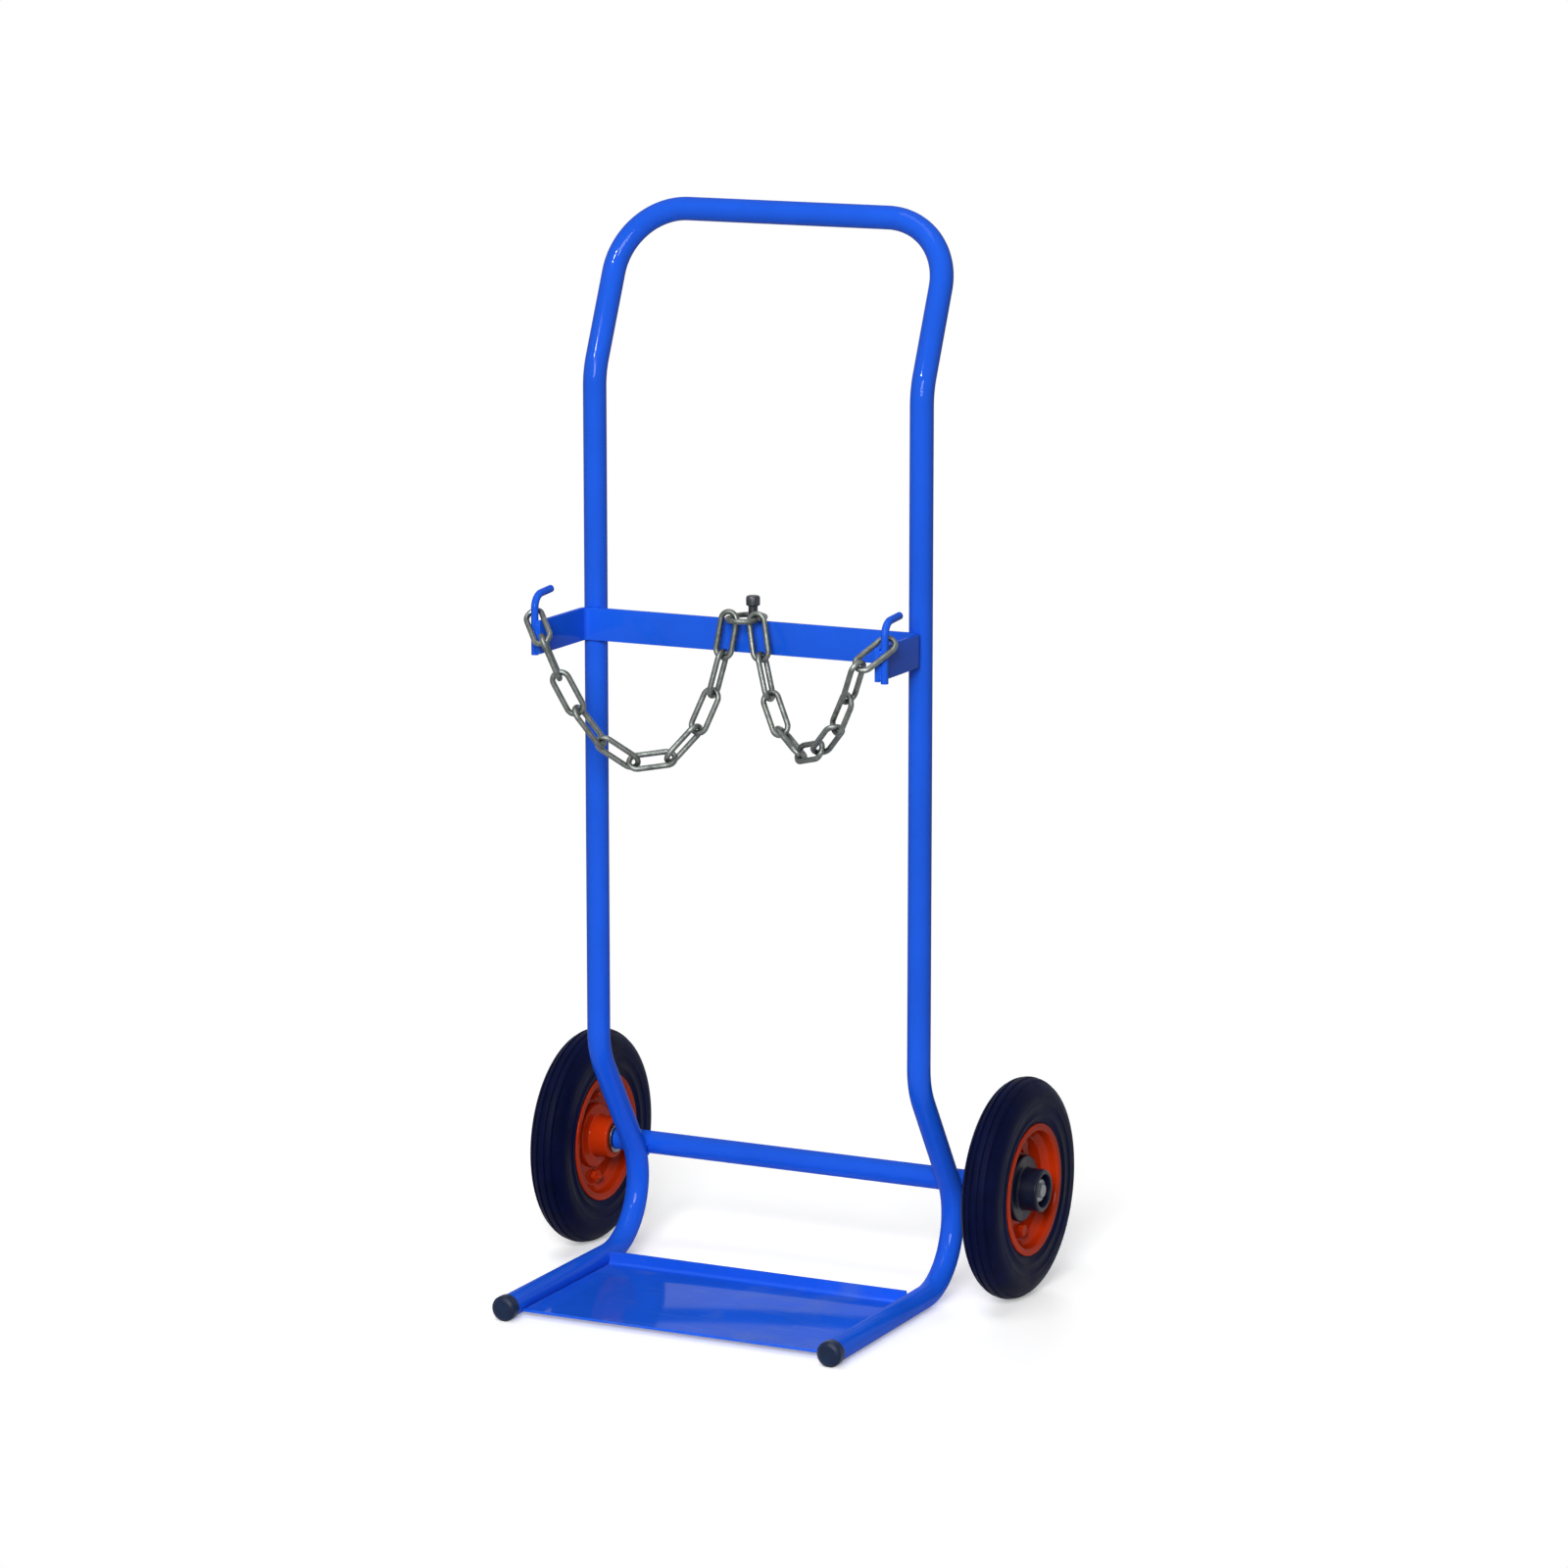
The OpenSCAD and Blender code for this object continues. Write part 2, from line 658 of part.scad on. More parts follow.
module bushes(side) {
    out_len = hub_reach - hub_recess;
    in_len = hub_reach - hub_back_recess;
    bush_wall = (bush_d - axle_d) / 2 - axle_play;
    color(steel) on_axle(side) rotate([0, 90, 0]) {
        linear_extrude(out_len) pipe_ring(bush_d, bush_wall);
        translate([0, 0, -in_len]) linear_extrude(in_len - bush_gap) pipe_ring(bush_d, bush_wall);
    }
}

module left_tyre() {
    tyre(-1);
}

module left_outer_rim() {
    color(red) on_axle(-1) rim_half();
}

module left_inner_rim() {
    color(red) on_axle(-1) mirror([1, 0, 0]) rim_half();
}

module left_rim_bolts() {
    rim_bolts(-1);
}

module left_rim_nuts() {
    rim_nuts(-1);
}

module left_outer_hub() {
    outer_hub(-1);
}

module left_inner_hub() {
    inner_hub(-1);
}

module left_bushes() {
    bushes(-1);
}

module right_tyre() {
    tyre(1);
}

module right_outer_rim() {
    color(red) on_axle(1) rim_half();
}

module right_inner_rim() {
    color(red) on_axle(1) mirror([1, 0, 0]) rim_half();
}

module right_rim_bolts() {
    rim_bolts(1);
}

module right_rim_nuts() {
    rim_nuts(1);
}

module right_outer_hub() {
    outer_hub(1);
}

module right_inner_hub() {
    inner_hub(1);
}

module right_bushes() {
    bushes(1);
}

frame_tube();
left_toe_cap();
right_toe_cap();
toe_plate();
axle_tube();
axle_rod();
inner_washers();
outer_washers();
axle_nuts();
bracket();
left_hook();
right_hook();
centre_pin();
middle_ring();
left_end_link();
right_end_link();
left_chain();
right_chain();
left_tyre();
left_outer_rim();
left_inner_rim();
left_rim_bolts();
left_rim_nuts();
left_outer_hub();
left_inner_hub();
left_bushes();
right_tyre();
right_outer_rim();
right_inner_rim();
right_rim_bolts();
right_rim_nuts();
right_outer_hub();
right_inner_hub();
right_bushes();
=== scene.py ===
"""Looks of the gas cylinder trolley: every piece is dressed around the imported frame."""

import math

import bmesh
import bpy
from bpy.props import FloatProperty, FloatVectorProperty, IntProperty, PointerProperty
from mathutils import Matrix, Vector


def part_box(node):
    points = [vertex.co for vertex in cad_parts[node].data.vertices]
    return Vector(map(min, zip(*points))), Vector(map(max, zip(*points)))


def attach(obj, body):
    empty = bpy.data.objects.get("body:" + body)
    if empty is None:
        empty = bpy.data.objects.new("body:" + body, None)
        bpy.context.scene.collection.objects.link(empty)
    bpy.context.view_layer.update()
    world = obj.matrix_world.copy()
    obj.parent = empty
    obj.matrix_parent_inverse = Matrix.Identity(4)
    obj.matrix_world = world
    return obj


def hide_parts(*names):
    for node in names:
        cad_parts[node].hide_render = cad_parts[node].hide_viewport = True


bl_info = {
    "name": "Gas cylinder trolley",
    "version": (1, 0, 0),
    "blender": (4, 5, 0),
    "location": "View3D > Sidebar > Trolley",
    "description": "Builds the finished pieces of a gas cylinder trolley around its frame",
    "category": "Object",
}

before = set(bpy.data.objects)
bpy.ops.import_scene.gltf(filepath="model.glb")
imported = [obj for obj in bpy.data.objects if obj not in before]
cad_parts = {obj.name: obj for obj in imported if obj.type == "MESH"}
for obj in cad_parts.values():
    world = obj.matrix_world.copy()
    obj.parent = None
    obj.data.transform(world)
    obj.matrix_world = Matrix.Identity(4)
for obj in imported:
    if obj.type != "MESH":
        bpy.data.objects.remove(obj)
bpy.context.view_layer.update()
ROOT_BODY = "frame"
SIDES = (("left", -1.0), ("right", 1.0))
BOTH_WAYS = (-1.0, 1.0)
MIRROR_X = Matrix.Diagonal((-1.0, 1.0, 1.0, 1.0))


# Sizes read from the frame, in metres

def middle(node):
    """Middle of a frame node's box."""
    low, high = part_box(node)
    return (low + high) / 2


def extent(node):
    """Size of a frame node's box."""
    low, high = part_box(node)
    return high - low


TUBE_LOW, TUBE_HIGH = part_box("frame_tube")
BAR_LOW, BAR_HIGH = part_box("bracket")
PLATE_LOW, PLATE_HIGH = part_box("toe_plate")
AXLE = middle("axle_rod")
WHEEL_X = middle("right_tyre").x
TYRE_D = extent("right_tyre").z
TYRE_W = extent("right_tyre").x


# Settings

def number(name, description, default, **kind):
    return FloatProperty(name=name, description=description, default=default, min=0.0, **kind)


def length(name, description, default):
    return number(name, description, default, unit="LENGTH", precision=4)


def share(name, description, default):
    return number(name, description, default, max=1.0, subtype="FACTOR")


def power(name, description, default):
    return number(name, description, default, subtype="POWER")


def angle(name, description, degrees):
    return FloatProperty(name=name, description=description, default=math.radians(degrees), subtype="ANGLE")


def whole(name, description, default):
    return IntProperty(name=name, description=description, default=default, min=1)


def swatch(name, description, *display):
    """A colour property from display values of 0 to 255."""
    linear = [(v / 255 / 12.92) if v <= 10 else ((v / 255 + 0.055) / 1.055) ** 2.4 for v in display]
    return FloatVectorProperty(name=name, description=description, default=linear, size=3, min=0.0, max=1.0,
                               subtype="COLOR")


class TrolleyFrameSizes(bpy.types.PropertyGroup):
    """Sizes of the bent tube, the toe plate and the caps."""
    tube_d: length("Tube diameter", "Outside diameter of the frame tube", 0.025)
    weld_gap: length("Weld gap", "Gap under a weld between two pieces", 0.0001)
    handle_bend_z: length("Handle bend height", "Height where the handle bends back", 0.988)
    handle_back: length("Handle set back", "Distance of the handle bar behind the uprights", 0.075)
    handle_corner_r: length("Handle corner", "Bend radius of the handle corners", 0.074)
    kink_r: length("Shallow bends", "Bend radius of the shallow bends", 0.075)
    toe_bend_r: length("Toe bend", "Bend radius at the back of the toe", 0.074)
    leg_lean: angle("Leg lean", "Lean of the lower legs from the vertical", 33.4)
    cap_wall: length("Cap wall", "Wall of the plastic caps", 0.0013)
    cap_grip: length("Cap grip", "Length of tube that a cap covers", 0.009)
    cap_dome: length("Cap dome", "Width of the rounded border of a cap", 0.0042)
    cap_round: length("Cap rounding", "Radius of the rounded border of a cap", 0.003)
    plate_t: length("Plate thickness", "Thickness of the toe plate", 0.003)
    plate_bend_r: length("Plate bend", "Inside radius of the turned-up edge", 0.004)
    plate_edge: length("Plate edge", "Easing of the plate's side edges", 0.0005)
    ease: length("Eased edges", "Easing of other cut edges", 0.0006)


class TrolleyBracketSizes(bpy.types.PropertyGroup):
    """Sizes of the flat bar, the hooks and the pin."""
    bar_t: length("Bar thickness", "Thickness of the flat bar", 0.005)
    bar_bend_r: length("Bar bend", "Inside bend radius of the flat bar", 0.006)
    bar_end: length("Bar ends", "Easing of the ends of the flat bar", 0.0004)
    bar_edge: length("Bar edges", "Easing of the long edges of the flat bar", 0.0008)
    hook_d: length("Hook rod", "Diameter of the hook rods", 0.008)
    hook_rise: length("Hook rise", "Straight rod above the bar", 0.012)
    hook_r: length("Hook bend", "Bend radius of the hooks", 0.015)
    hook_turn: angle("Hook turn", "Turn of the hooks", 86.0)
    hook_end: length("Hook end", "Length of the straight hook end", 0.022)
    hook_tip: length("Hook tips", "Length of the eased tips of a hook rod", 0.0008)
    hook_foot: share("Hook foot", "Size of the lower tip beside the rod", 0.86)
    hook_point: share("Hook point", "Size of the upper tip beside the rod", 0.84)
    pin_d: length("Pin", "Diameter of the centre pin", 0.010)
    pin_head: length("Pin head", "Height of the pin head", 0.011)
    pin_ease: length("Pin foot", "Easing of the foot of the pin", 0.0008)
    pin_neck: length("Pin neck", "Fillet between the pin and its head", 0.0006)
    pin_under: length("Pin head edge", "Rounding of the lower edge of the pin head", 0.0014)
    pin_crown: length("Pin crown", "Rounding of the upper edge of the pin head", 0.0026)


class TrolleyChainSizes(bpy.types.PropertyGroup):
    """Sizes and lie of the safety chain."""
    wire_d: length("Link wire", "Diameter of the link wire", 0.006)
    link_inner: length("Link length", "Inner length of a link", 0.043)
    link_w: length("Link width", "Outer width of a link", 0.024)
    ring_w: length("Ring width", "Outer width of the middle ring", 0.038)
    left_links: whole("Left links", "Free links in the left run", 9)
    right_links: whole("Right links", "Free links in the right run", 8)
    link_play: length("Link play", "Play between two links", 0.0005)
    turn_play: length("Turn play", "Further play where links meet at an angle", 0.008)
    held_play: length("Held play", "Play at the held ends of a run", 0.0009)
    end_fall: angle("End link fall", "Fall of the end links from the horizontal", 32.0)
    end_roll: angle("End link roll", "Roll of the end links", 35.0)
    end_back: length("End link back", "Distance from a hook rod to the far end of its link", 0.0113)
    left_end_turn: angle("Left end turn", "Turn of the left end link in from straight ahead", 46.0)
    right_end_turn: angle("Right end turn", "Turn of the right end link in from straight ahead", 35.0)
    left_twist: angle("Left twist", "Twist of the middle of the left run", 10.0)
    right_twist: angle("Right twist", "Twist of the middle of the right run", -20.0)
    weld_swell: share("Weld swell", "How much thicker a link is at its weld", 0.13)


class TrolleyWheelSizes(bpy.types.PropertyGroup):
    """Sizes of the tyres, rims, hubs and axle."""
    rim_flange_d: length("Rim flange", "Diameter of the rim flange", 0.143)
    rim_w: length("Rim width", "Width over the rim flanges", 0.039)
    rim_t: length("Rim sheet", "Thickness of the rim sheet", 0.002)
    rim_bed_r: length("Rim bed", "Radius of the bed under the tyre", 0.063)
    rim_disc_r: length("Rim disc", "Radius of the flat disc", 0.056)
    rim_press: length("Rim press", "Rounding of the back of the pressed dish", 0.005)
    rim_fold: length("Rim fold", "Rounding of the front of the pressed dish", 0.004)
    rim_roll: length("Rim roll", "Roll of the sheet into the flange", 0.003)
    press_gap: length("Press gap", "Gap between pieces pressed together", 0.0001)
    groove_depth: length("Groove depth", "Depth of the tread grooves", 0.002)
    groove_w: length("Groove width", "Width of the tread grooves", 0.0024)
    groove_ease: length("Groove easing", "Width of the eased groove edges", 0.0005)
    groove_in: length("Inner grooves", "Distance from the middle to the inner grooves", 0.0045)
    groove_out: length("Outer grooves", "Distance from the middle to the outer grooves", 0.012)
    bolts: whole("Bolts", "Rim bolts on a wheel", 4)
    bolt_ring: length("Bolt ring", "Radius of the ring of rim bolts", 0.047)
    bolt_d: length("Bolt diameter", "Diameter of the rim bolts", 0.008)
    bolt_pitch: length("Bolt pitch", "Pitch of the bolt thread", 0.00125)
    bolt_thread: length("Bolt thread", "Depth of the bolt thread", 0.0005)
    bolt_flats: length("Bolt flats", "Width across flats of bolt heads and nuts", 0.013)
    bolt_head: length("Bolt head", "Height of the bolt heads and nuts", 0.006)
    bolt_chamfer: length("Bolt chamfer", "Chamfer of the bolt heads and nuts", 0.0012)
    bolt_tail: length("Bolt tail", "Length of bolt past the nut", 0.003)
    hub_flange_d: length("Hub flange", "Diameter of the hub flange", 0.072)
    hub_flange_t: length("Hub flange thickness", "Thickness of the hub flange", 0.006)
    hub_nose_d: length("Hub nose", "Diameter of the hub nose", 0.046)
    hub_reach: length("Hub reach", "Distance from the wheel middle to the hub end", 0.030)
    hub_spigot_d: length("Hub spigot", "Diameter of the spigot in the rim", 0.040)
    hub_recess_d: length("Hub recess", "Diameter of the recess in the hub end", 0.036)
    outer_recess: length("Outer recess", "Depth of the recess round the axle nut", 0.013)
    inner_recess: length("Inner recess", "Depth of the recess at the inner hub end", 0.001)
    bush_d: length("Bush", "Outside diameter of the bushes", 0.028)
    axle_d: length("Axle", "Diameter of the axle", 0.020)
    axle_gap: length("Axle gap", "Room between the axle and what is slid on it", 0.00015)
    washer_t: length("Washer", "Thickness of the washers", 0.002)
    thread_d: length("Axle thread", "Diameter of the threaded axle ends", 0.016)
    thread_pitch: length("Thread pitch", "Pitch of the axle thread", 0.002)
    thread_depth: length("Thread depth", "Depth of the axle thread", 0.0007)
    nut_flats: length("Axle nut", "Width across flats of the axle nuts", 0.024)
    nut_chamfer: length("Nut chamfer", "Chamfer of the axle nuts", 0.0022)


class TrolleyWeldSizes(bpy.types.PropertyGroup):
    """Sizes and places of the weld beads."""
    bead: length("Bead", "Width of a weld bead", 0.0044)
    pitch: length("Ripple pitch", "Distance between the ripples of a bead", 0.0015)
    seed: whole("Seed", "Seed of the uneven ripples", 11)
    upright_off: length("Upright beads", "Distance of the beads from the middle of an upright", 0.0075)
    upright_lift: length("Upright lift", "Height of the upright beads on the bar", 0.0004)
    arm_lift: length("Arm lift", "Height of the hook beads on the arms", 0.0008)
    pin_off: length("Pin beads", "Distance of the beads from the middle of the pin", 0.0042)
    pin_lift: length("Pin lift", "Height of the pin beads on the bar", 0.0006)
    saddle_off: length("Saddle beads", "Distance of the beads from the middle of the axle tube", 0.0056)
    saddle_step: length("Saddle step", "Distance between two points of a saddle bead", 0.0021)
    stitch: length("Stitch", "Length of a short bead under the plate", 0.026)


class TrolleyFinishes(bpy.types.PropertyGroup):
    """Colours of the finishes."""
    blue: swatch("Blue paint", "Gloss paint of the frame", 27, 94, 230)
    red: swatch("Red paint", "Paint of the rims", 198, 52, 12)
    rubber: swatch("Rubber", "Tyre rubber", 7, 13, 45)
    hub_black: swatch("Hub plastic", "Black plastic of the hub covers", 11, 17, 38)
    cap_black: swatch("Cap plastic", "Dark plastic of the toe caps", 15, 30, 56)
    zinc: swatch("Zinc", "Zinc plated fasteners", 106, 110, 117)
    chain: swatch("Chain", "Dull zinc of the chain", 113, 118, 114)
    pin: swatch("Pin", "Dark oxide of the centre pin", 76, 78, 82)
    bronze: swatch("Bronze", "Bearing bushes", 160, 122, 66)


class TrolleyStage(bpy.types.PropertyGroup):
    """Camera, floor and lights."""
    azimuth: angle("Azimuth", "Turn of the camera round the trolley", 26.0)
    elevation: angle("Elevation", "Height angle of the camera", 11.0)
    distance: length("Distance", "Distance of the camera from the aim point", 6.002)
    aim_x: length("Aim across", "Aim of the camera, across from the middle", 0.0326)
    aim_z: length("Aim height", "Aim of the camera, above the floor", 0.5612)
    lens: number("Lens", "Focal length for a 36 mm wide frame", 130.2)
    key_power: power("Key light", "Power of the large light beside the camera", 240.0)
    back_power: power("Back light", "Power of the large light behind the trolley", 150.0)
    top_power: power("Top light", "Power of the light overhead", 64.0)
    spark_power: power("Spark light", "Power of the small light that leaves glints on bends", 110.0)
    lamp_aim: length("Lamp aim", "Height of the point that the lamps face", 0.55)
    sky: number("Sky", "Level of the light from all round", 0.11)
    floor_half: length("Floor", "Half the width of the floor", 30.0)
    floor_lift: number("Floor lift", "Glow that keeps the seen floor white", 0.33)
    fade_start: length("Fade start", "Distance at which the floor starts to fade to white", 0.35)
    fade_end: length("Fade end", "Distance at which the floor is plain white", 0.9)


GROUPS = {
    "trolley_frame": TrolleyFrameSizes,
    "trolley_bracket": TrolleyBracketSizes,
    "trolley_chain": TrolleyChainSizes,
    "trolley_wheel": TrolleyWheelSizes,
    "trolley_weld": TrolleyWeldSizes,
    "trolley_finish": TrolleyFinishes,
    "trolley_stage": TrolleyStage,
}

# Rows of points on a tyre's side wall, as (radius, depth below the widest place):
# the radius from the end of the round tread, then the radius from the rim's lip
TYRE_SHOULDER = ((-0.004, 0.0003), (-0.0065, 0.0003), (-0.0070, 0.0009))
TYRE_RIB = ((0.0105, 0.0014), (0.0100, 0.0009), (0.0075, 0.0010), (0.0065, 0.0019), (0.0030, 0.0028))
# The same at the rim's lip, as (radius, distance outside the seat)
TYRE_FOOT = ((0.0010, 0.0006), (0.0004, 0.0))
# Turns of the first bolt head and from each to the next, in radians, so that no two lie alike
FIRST_TURN, NEXT_TURN = 0.35, 0.9


# Finishes

class Nodes:
    """A node tree under construction."""

    def __init__(self, tree):
        self.tree = tree

    def feed(self, socket, value):
        """Links a socket to another one or sets it to a value."""
        if isinstance(value, bpy.types.NodeSocket):
            self.tree.links.new(value, socket)
        else:
            socket.default_value = value

    def node(self, kind, inputs=None, **settings):
        made = self.tree.nodes.new(kind)
        for key, value in settings.items():
            setattr(made, key, value)
        for key, value in (inputs or {}).items():
            self.feed(made.inputs[key], value)
        return made

    def out(self, kind, inputs=None, **settings):
        """First output of a new node."""
        return self.node(kind, inputs, **settings).outputs[0]

    def math(self, operation, *values):
        return self.out("ShaderNodeMath", dict(enumerate(values)), operation=operation)

    def spread(self, source, low, high, to_low=0.0, to_high=1.0, curve="LINEAR"):
        """Maps a range of values to another, held at its ends."""
        return self.out("ShaderNodeMapRange", {
            "Value": source, "From Min": low, "From Max": high, "To Min": to_low, "To Max": to_high},
            interpolation_type=curve)


class Finish(Nodes):
    """A procedural material under construction, read in object coordinates."""

    def __init__(self, name, **values):
        """Starts with constant shader values, by socket name with underscores for spaces."""
        self.material = bpy.data.materials.new(name)
        self.material.use_nodes = True
        super().__init__(self.material.node_tree)
        self.shader = self.tree.nodes["Principled BSDF"]
        self.place = self.node("ShaderNodeTexCoord").outputs["Object"]
        for key, value in values.items():
            self.feed(self.shader.inputs[key.replace("_", " ")], value)

    def noise(self, scale, detail=3.0, roughness=0.55, stretch=(1.0, 1.0, 1.0), distortion=0.0):
        place = self.out("ShaderNodeMapping", {"Vector": self.place, "Scale": stretch})
        return self.out("ShaderNodeTexNoise", {"Vector": place, "Scale": scale, "Detail": detail,
                                               "Roughness": roughness, "Distortion": distortion})

    def cells(self, scale, output):
        return self.node("ShaderNodeTexVoronoi", {"Vector": self.place, "Scale": scale}).outputs[output]

    def mix(self, factor, first, second):
        """Colour between two colours, given as values or sockets."""
        made = self.node("ShaderNodeMix", {"Factor": factor}, data_type="RGBA")
        for socket, value in ((made.inputs[6], first), (made.inputs[7], second)):
            self.feed(socket, value if isinstance(value, bpy.types.NodeSocket) else (*value, 1.0))
        return made.outputs[2]

    def bumps(self, *layers):
        """Normal from layers of (height, strength, depth), the lowest first."""
        below = {}
        for height, strength, depth in layers:
            below = {"Normal": self.out("ShaderNodeBump", {
                "Height": height, "Strength": strength, "Distance": depth, **below})}
        return below["Normal"]

    def cloudy(self, colour, deep):
        """A colour that changes softly to a deeper one."""
        return self.mix(self.spread(self.noise(9.0, 4.0), 0.3, 0.7), scaled(colour, deep), colour)

    def wear(self, colour, roughness, normal):
        """Joins colour, roughness and normal to the shader."""
        for name, source in (("Base Color", colour), ("Roughness", roughness), ("Normal", normal)):
            self.feed(self.shader.inputs[name], source)
        return self.material


def scaled(colour, factor):
    return tuple(min(1.0, c * factor) for c in colour)


def gloss_paint(name, colour, deep):
    """Sprayed gloss paint: soft shade changes, orange peel, dust and fine handling marks."""
    f = Finish(name, Metallic=0.0, Coat_Weight=0.16, Coat_Roughness=0.05, Specular_IOR_Level=0.0)
    marks = f.spread(f.noise(160.0, 6.0, 0.75, (1.0, 1.0, 0.12), 0.6), 0.66, 0.76, to_high=0.22)
    tone = f.mix(marks, f.cloudy(colour, deep), scaled(colour, 1.25))
    peel, dust = f.noise(420.0, 2.0), f.noise(1600.0, 2.0)
    roughness = f.math("ADD", f.spread(f.noise(24.0, 5.0), 0.3, 0.75, 0.15, 0.27), marks)
    return f.wear(tone, roughness, f.bumps((peel, 0.10, 0.0003), (dust, 0.05, 0.0001)))


def plate_paint(name, colour):
    """Gloss paint of the toe plate, rubbed dull and grey by what stands on it."""
    f = Finish(name, Metallic=0.0, Coat_Weight=0.3, Coat_Roughness=0.08, Specular_IOR_Level=0.0)
    strokes = f.noise(70.0, 7.0, 0.7, (0.18, 1.0, 1.0), 0.8)
    scuffs = f.spread(strokes, 0.56, 0.72, to_high=0.5)
    spots = f.spread(f.noise(14.0, 5.0, 0.6), 0.55, 0.72, to_high=0.35)
    rub = f.math("MAXIMUM", scuffs, spots)
    rubbed = (0.10, 0.19, 0.52)
    tone = f.mix(rub, f.cloudy(colour, 0.86), rubbed)
    peel = f.noise(420.0, 2.0)
    sheen = f.spread(f.noise(24.0, 5.0), 0.3, 0.75, 0.16, 0.28)
    roughness = f.math("ADD", sheen, f.math("MULTIPLY", rub, 0.3))
    return f.wear(tone, roughness, f.bumps((strokes, 0.06, 0.0004), (peel, 0.10, 0.0003)))


def tyre_rubber(name, colour):
    """Moulded rubber: fine grain, a dusty bloom and faint scuffs."""
    f = Finish(name, Metallic=0.0, Specular_IOR_Level=0.035)
    bloom = f.spread(f.noise(18.0, 6.0, 0.65), 0.35, 0.75)
    scuffs = f.spread(f.noise(220.0, 5.0, 0.7), 0.62, 0.75, to_high=0.5)
    tone = f.mix(scuffs, f.mix(bloom, scaled(colour, 0.55), scaled(colour, 1.6)), scaled(colour, 2.4))
    waves, grain = f.noise(120.0, 4.0), f.noise(1500.0, 3.0, 0.7)
    roughness = f.spread(bloom, 0.0, 1.0, 0.46, 0.66)
    return f.wear(tone, roughness, f.bumps((waves, 0.12, 0.0006), (grain, 0.35, 0.0003)))


def moulded_plastic(name, colour):
    """Satin moulded plastic with a fine spark grain and paler rub marks."""
    f = Finish(name, Metallic=0.0, Specular_IOR_Level=0.15)
    rubs = f.spread(f.noise(90.0, 6.0, 0.7), 0.52, 0.75, to_high=0.6)
    tone = f.mix(rubs, colour, scaled(colour, 2.2))
    waves, grain = f.noise(60.0, 3.0), f.cells(2600.0, "Distance")
    roughness = f.spread(f.noise(45.0, 5.0), 0.3, 0.7, 0.32, 0.5)
    return f.wear(tone, roughness, f.bumps((waves, 0.08, 0.0005), (grain, 0.16, 0.0002)))


def plated_steel(name, colour, low, high, stain):
    """Plated or oiled metal, rough from low to high: cloudy spangle, dull stains and fine draw lines."""
    f = Finish(name, Metallic=1.0)
    flakes = f.out("ShaderNodeSeparateColor", {"Color": f.cells(420.0, "Color")})
    stains = f.spread(f.noise(85.0, 6.0, 0.7), 0.42, 0.72, to_high=stain)
    spangle = f.mix(f.spread(flakes, 0.0, 1.0), scaled(colour, 0.82), scaled(colour, 1.1))
    tone = f.mix(stains, spangle, scaled(colour, 0.22))
    waves, lines = f.noise(150.0, 4.0), f.noise(900.0, 3.0, 0.6)
    sheen = f.spread(f.noise(130.0, 5.0), 0.3, 0.7, low, high)
    roughness = f.math("ADD", sheen, f.math("MULTIPLY", stains, 0.2))
    return f.wear(tone, roughness, f.bumps((waves, 0.10, 0.0004), (lines, 0.14, 0.0002)))


# Each finish by its maker, its colour setting and the maker's further values
MAKERS = {
    "blue_paint": (gloss_paint, "blue", 0.84),
    "plate_paint": (plate_paint, "blue"),
    "red_paint": (gloss_paint, "red", 0.66),
    "tyre_rubber": (tyre_rubber, "rubber"),
    "hub_plastic": (moulded_plastic, "hub_black"),
    "cap_plastic": (moulded_plastic, "cap_black"),
    "zinc_steel": (plated_steel, "zinc", 0.22, 0.38, 0.3),
    "chain_steel": (plated_steel, "chain", 0.34, 0.52, 0.7),
    "pin_steel": (plated_steel, "pin", 0.34, 0.52, 0.6),
    "bush_bronze": (plated_steel, "bronze", 0.3, 0.45, 0.4),
}
# Finishes made so far, by name
FINISHES = {}


def finish(name):
    """The finish of that name, made the first time it is asked for."""
    if name not in FINISHES:
        maker, tint, *values = MAKERS[name]
        FINISHES[name] = maker(name, tuple(getattr(bpy.context.scene.trolley_finish, tint)), *values)
    return FINISHES[name]


# Outlines and meshes

# Most of an edge that one rounded corner may take, so that two corners never meet
CORNER_SHARE = 0.49


def rounded(corners, steps=6):
    """Closed outline from corners (u, v, radius), each rounded by its radius."""
    outline = []
    for i, (u, v, radius) in enumerate(corners):
        here = Vector((u, v))
        if radius <= 0.0:
            outline.append(here)
            continue
        back = Vector(corners[i - 1][:2]) - here
        ahead = Vector(corners[(i + 1) % len(corners)][:2]) - here
        half = back.angle(ahead) / 2
        cut = min(radius / math.tan(half), CORNER_SHARE * back.length, CORNER_SHARE * ahead.length)
        size = cut * math.tan(half)
        centre = here + (back.normalized() + ahead.normalized()).normalized() * size / math.sin(half)
        first = here + back.normalized() * cut - centre
        last = here + ahead.normalized() * cut - centre
        start = math.atan2(first.y, first.x)
        turn = math.remainder(math.atan2(last.y, last.x) - start, math.tau)
        for k in range(steps + 1):
            at = start + turn * k / steps
            outline.append(centre + size * Vector((math.cos(at), math.sin(at))))
    return outline


def smooth(mesh, sharp):
    """Smooth shading with sharp edges above the given angle."""
    mesh.polygons.foreach_set("use_smooth", [True] * len(mesh.polygons))
    mesh.set_sharp_from_angle(angle=math.radians(sharp))
    return mesh


def mesh_from(bm, name, sharp):
    """Merges doubles, turns the faces outwards and makes a mesh."""
    bmesh.ops.remove_doubles(bm, verts=bm.verts, dist=1e-7)
    bmesh.ops.dissolve_degenerate(bm, edges=bm.edges, dist=1e-7)
    bmesh.ops.recalc_face_normals(bm, faces=bm.faces)
    mesh = bpy.data.meshes.new(name)
    bm.to_mesh(mesh)
    bm.free()
    return smooth(mesh, sharp)


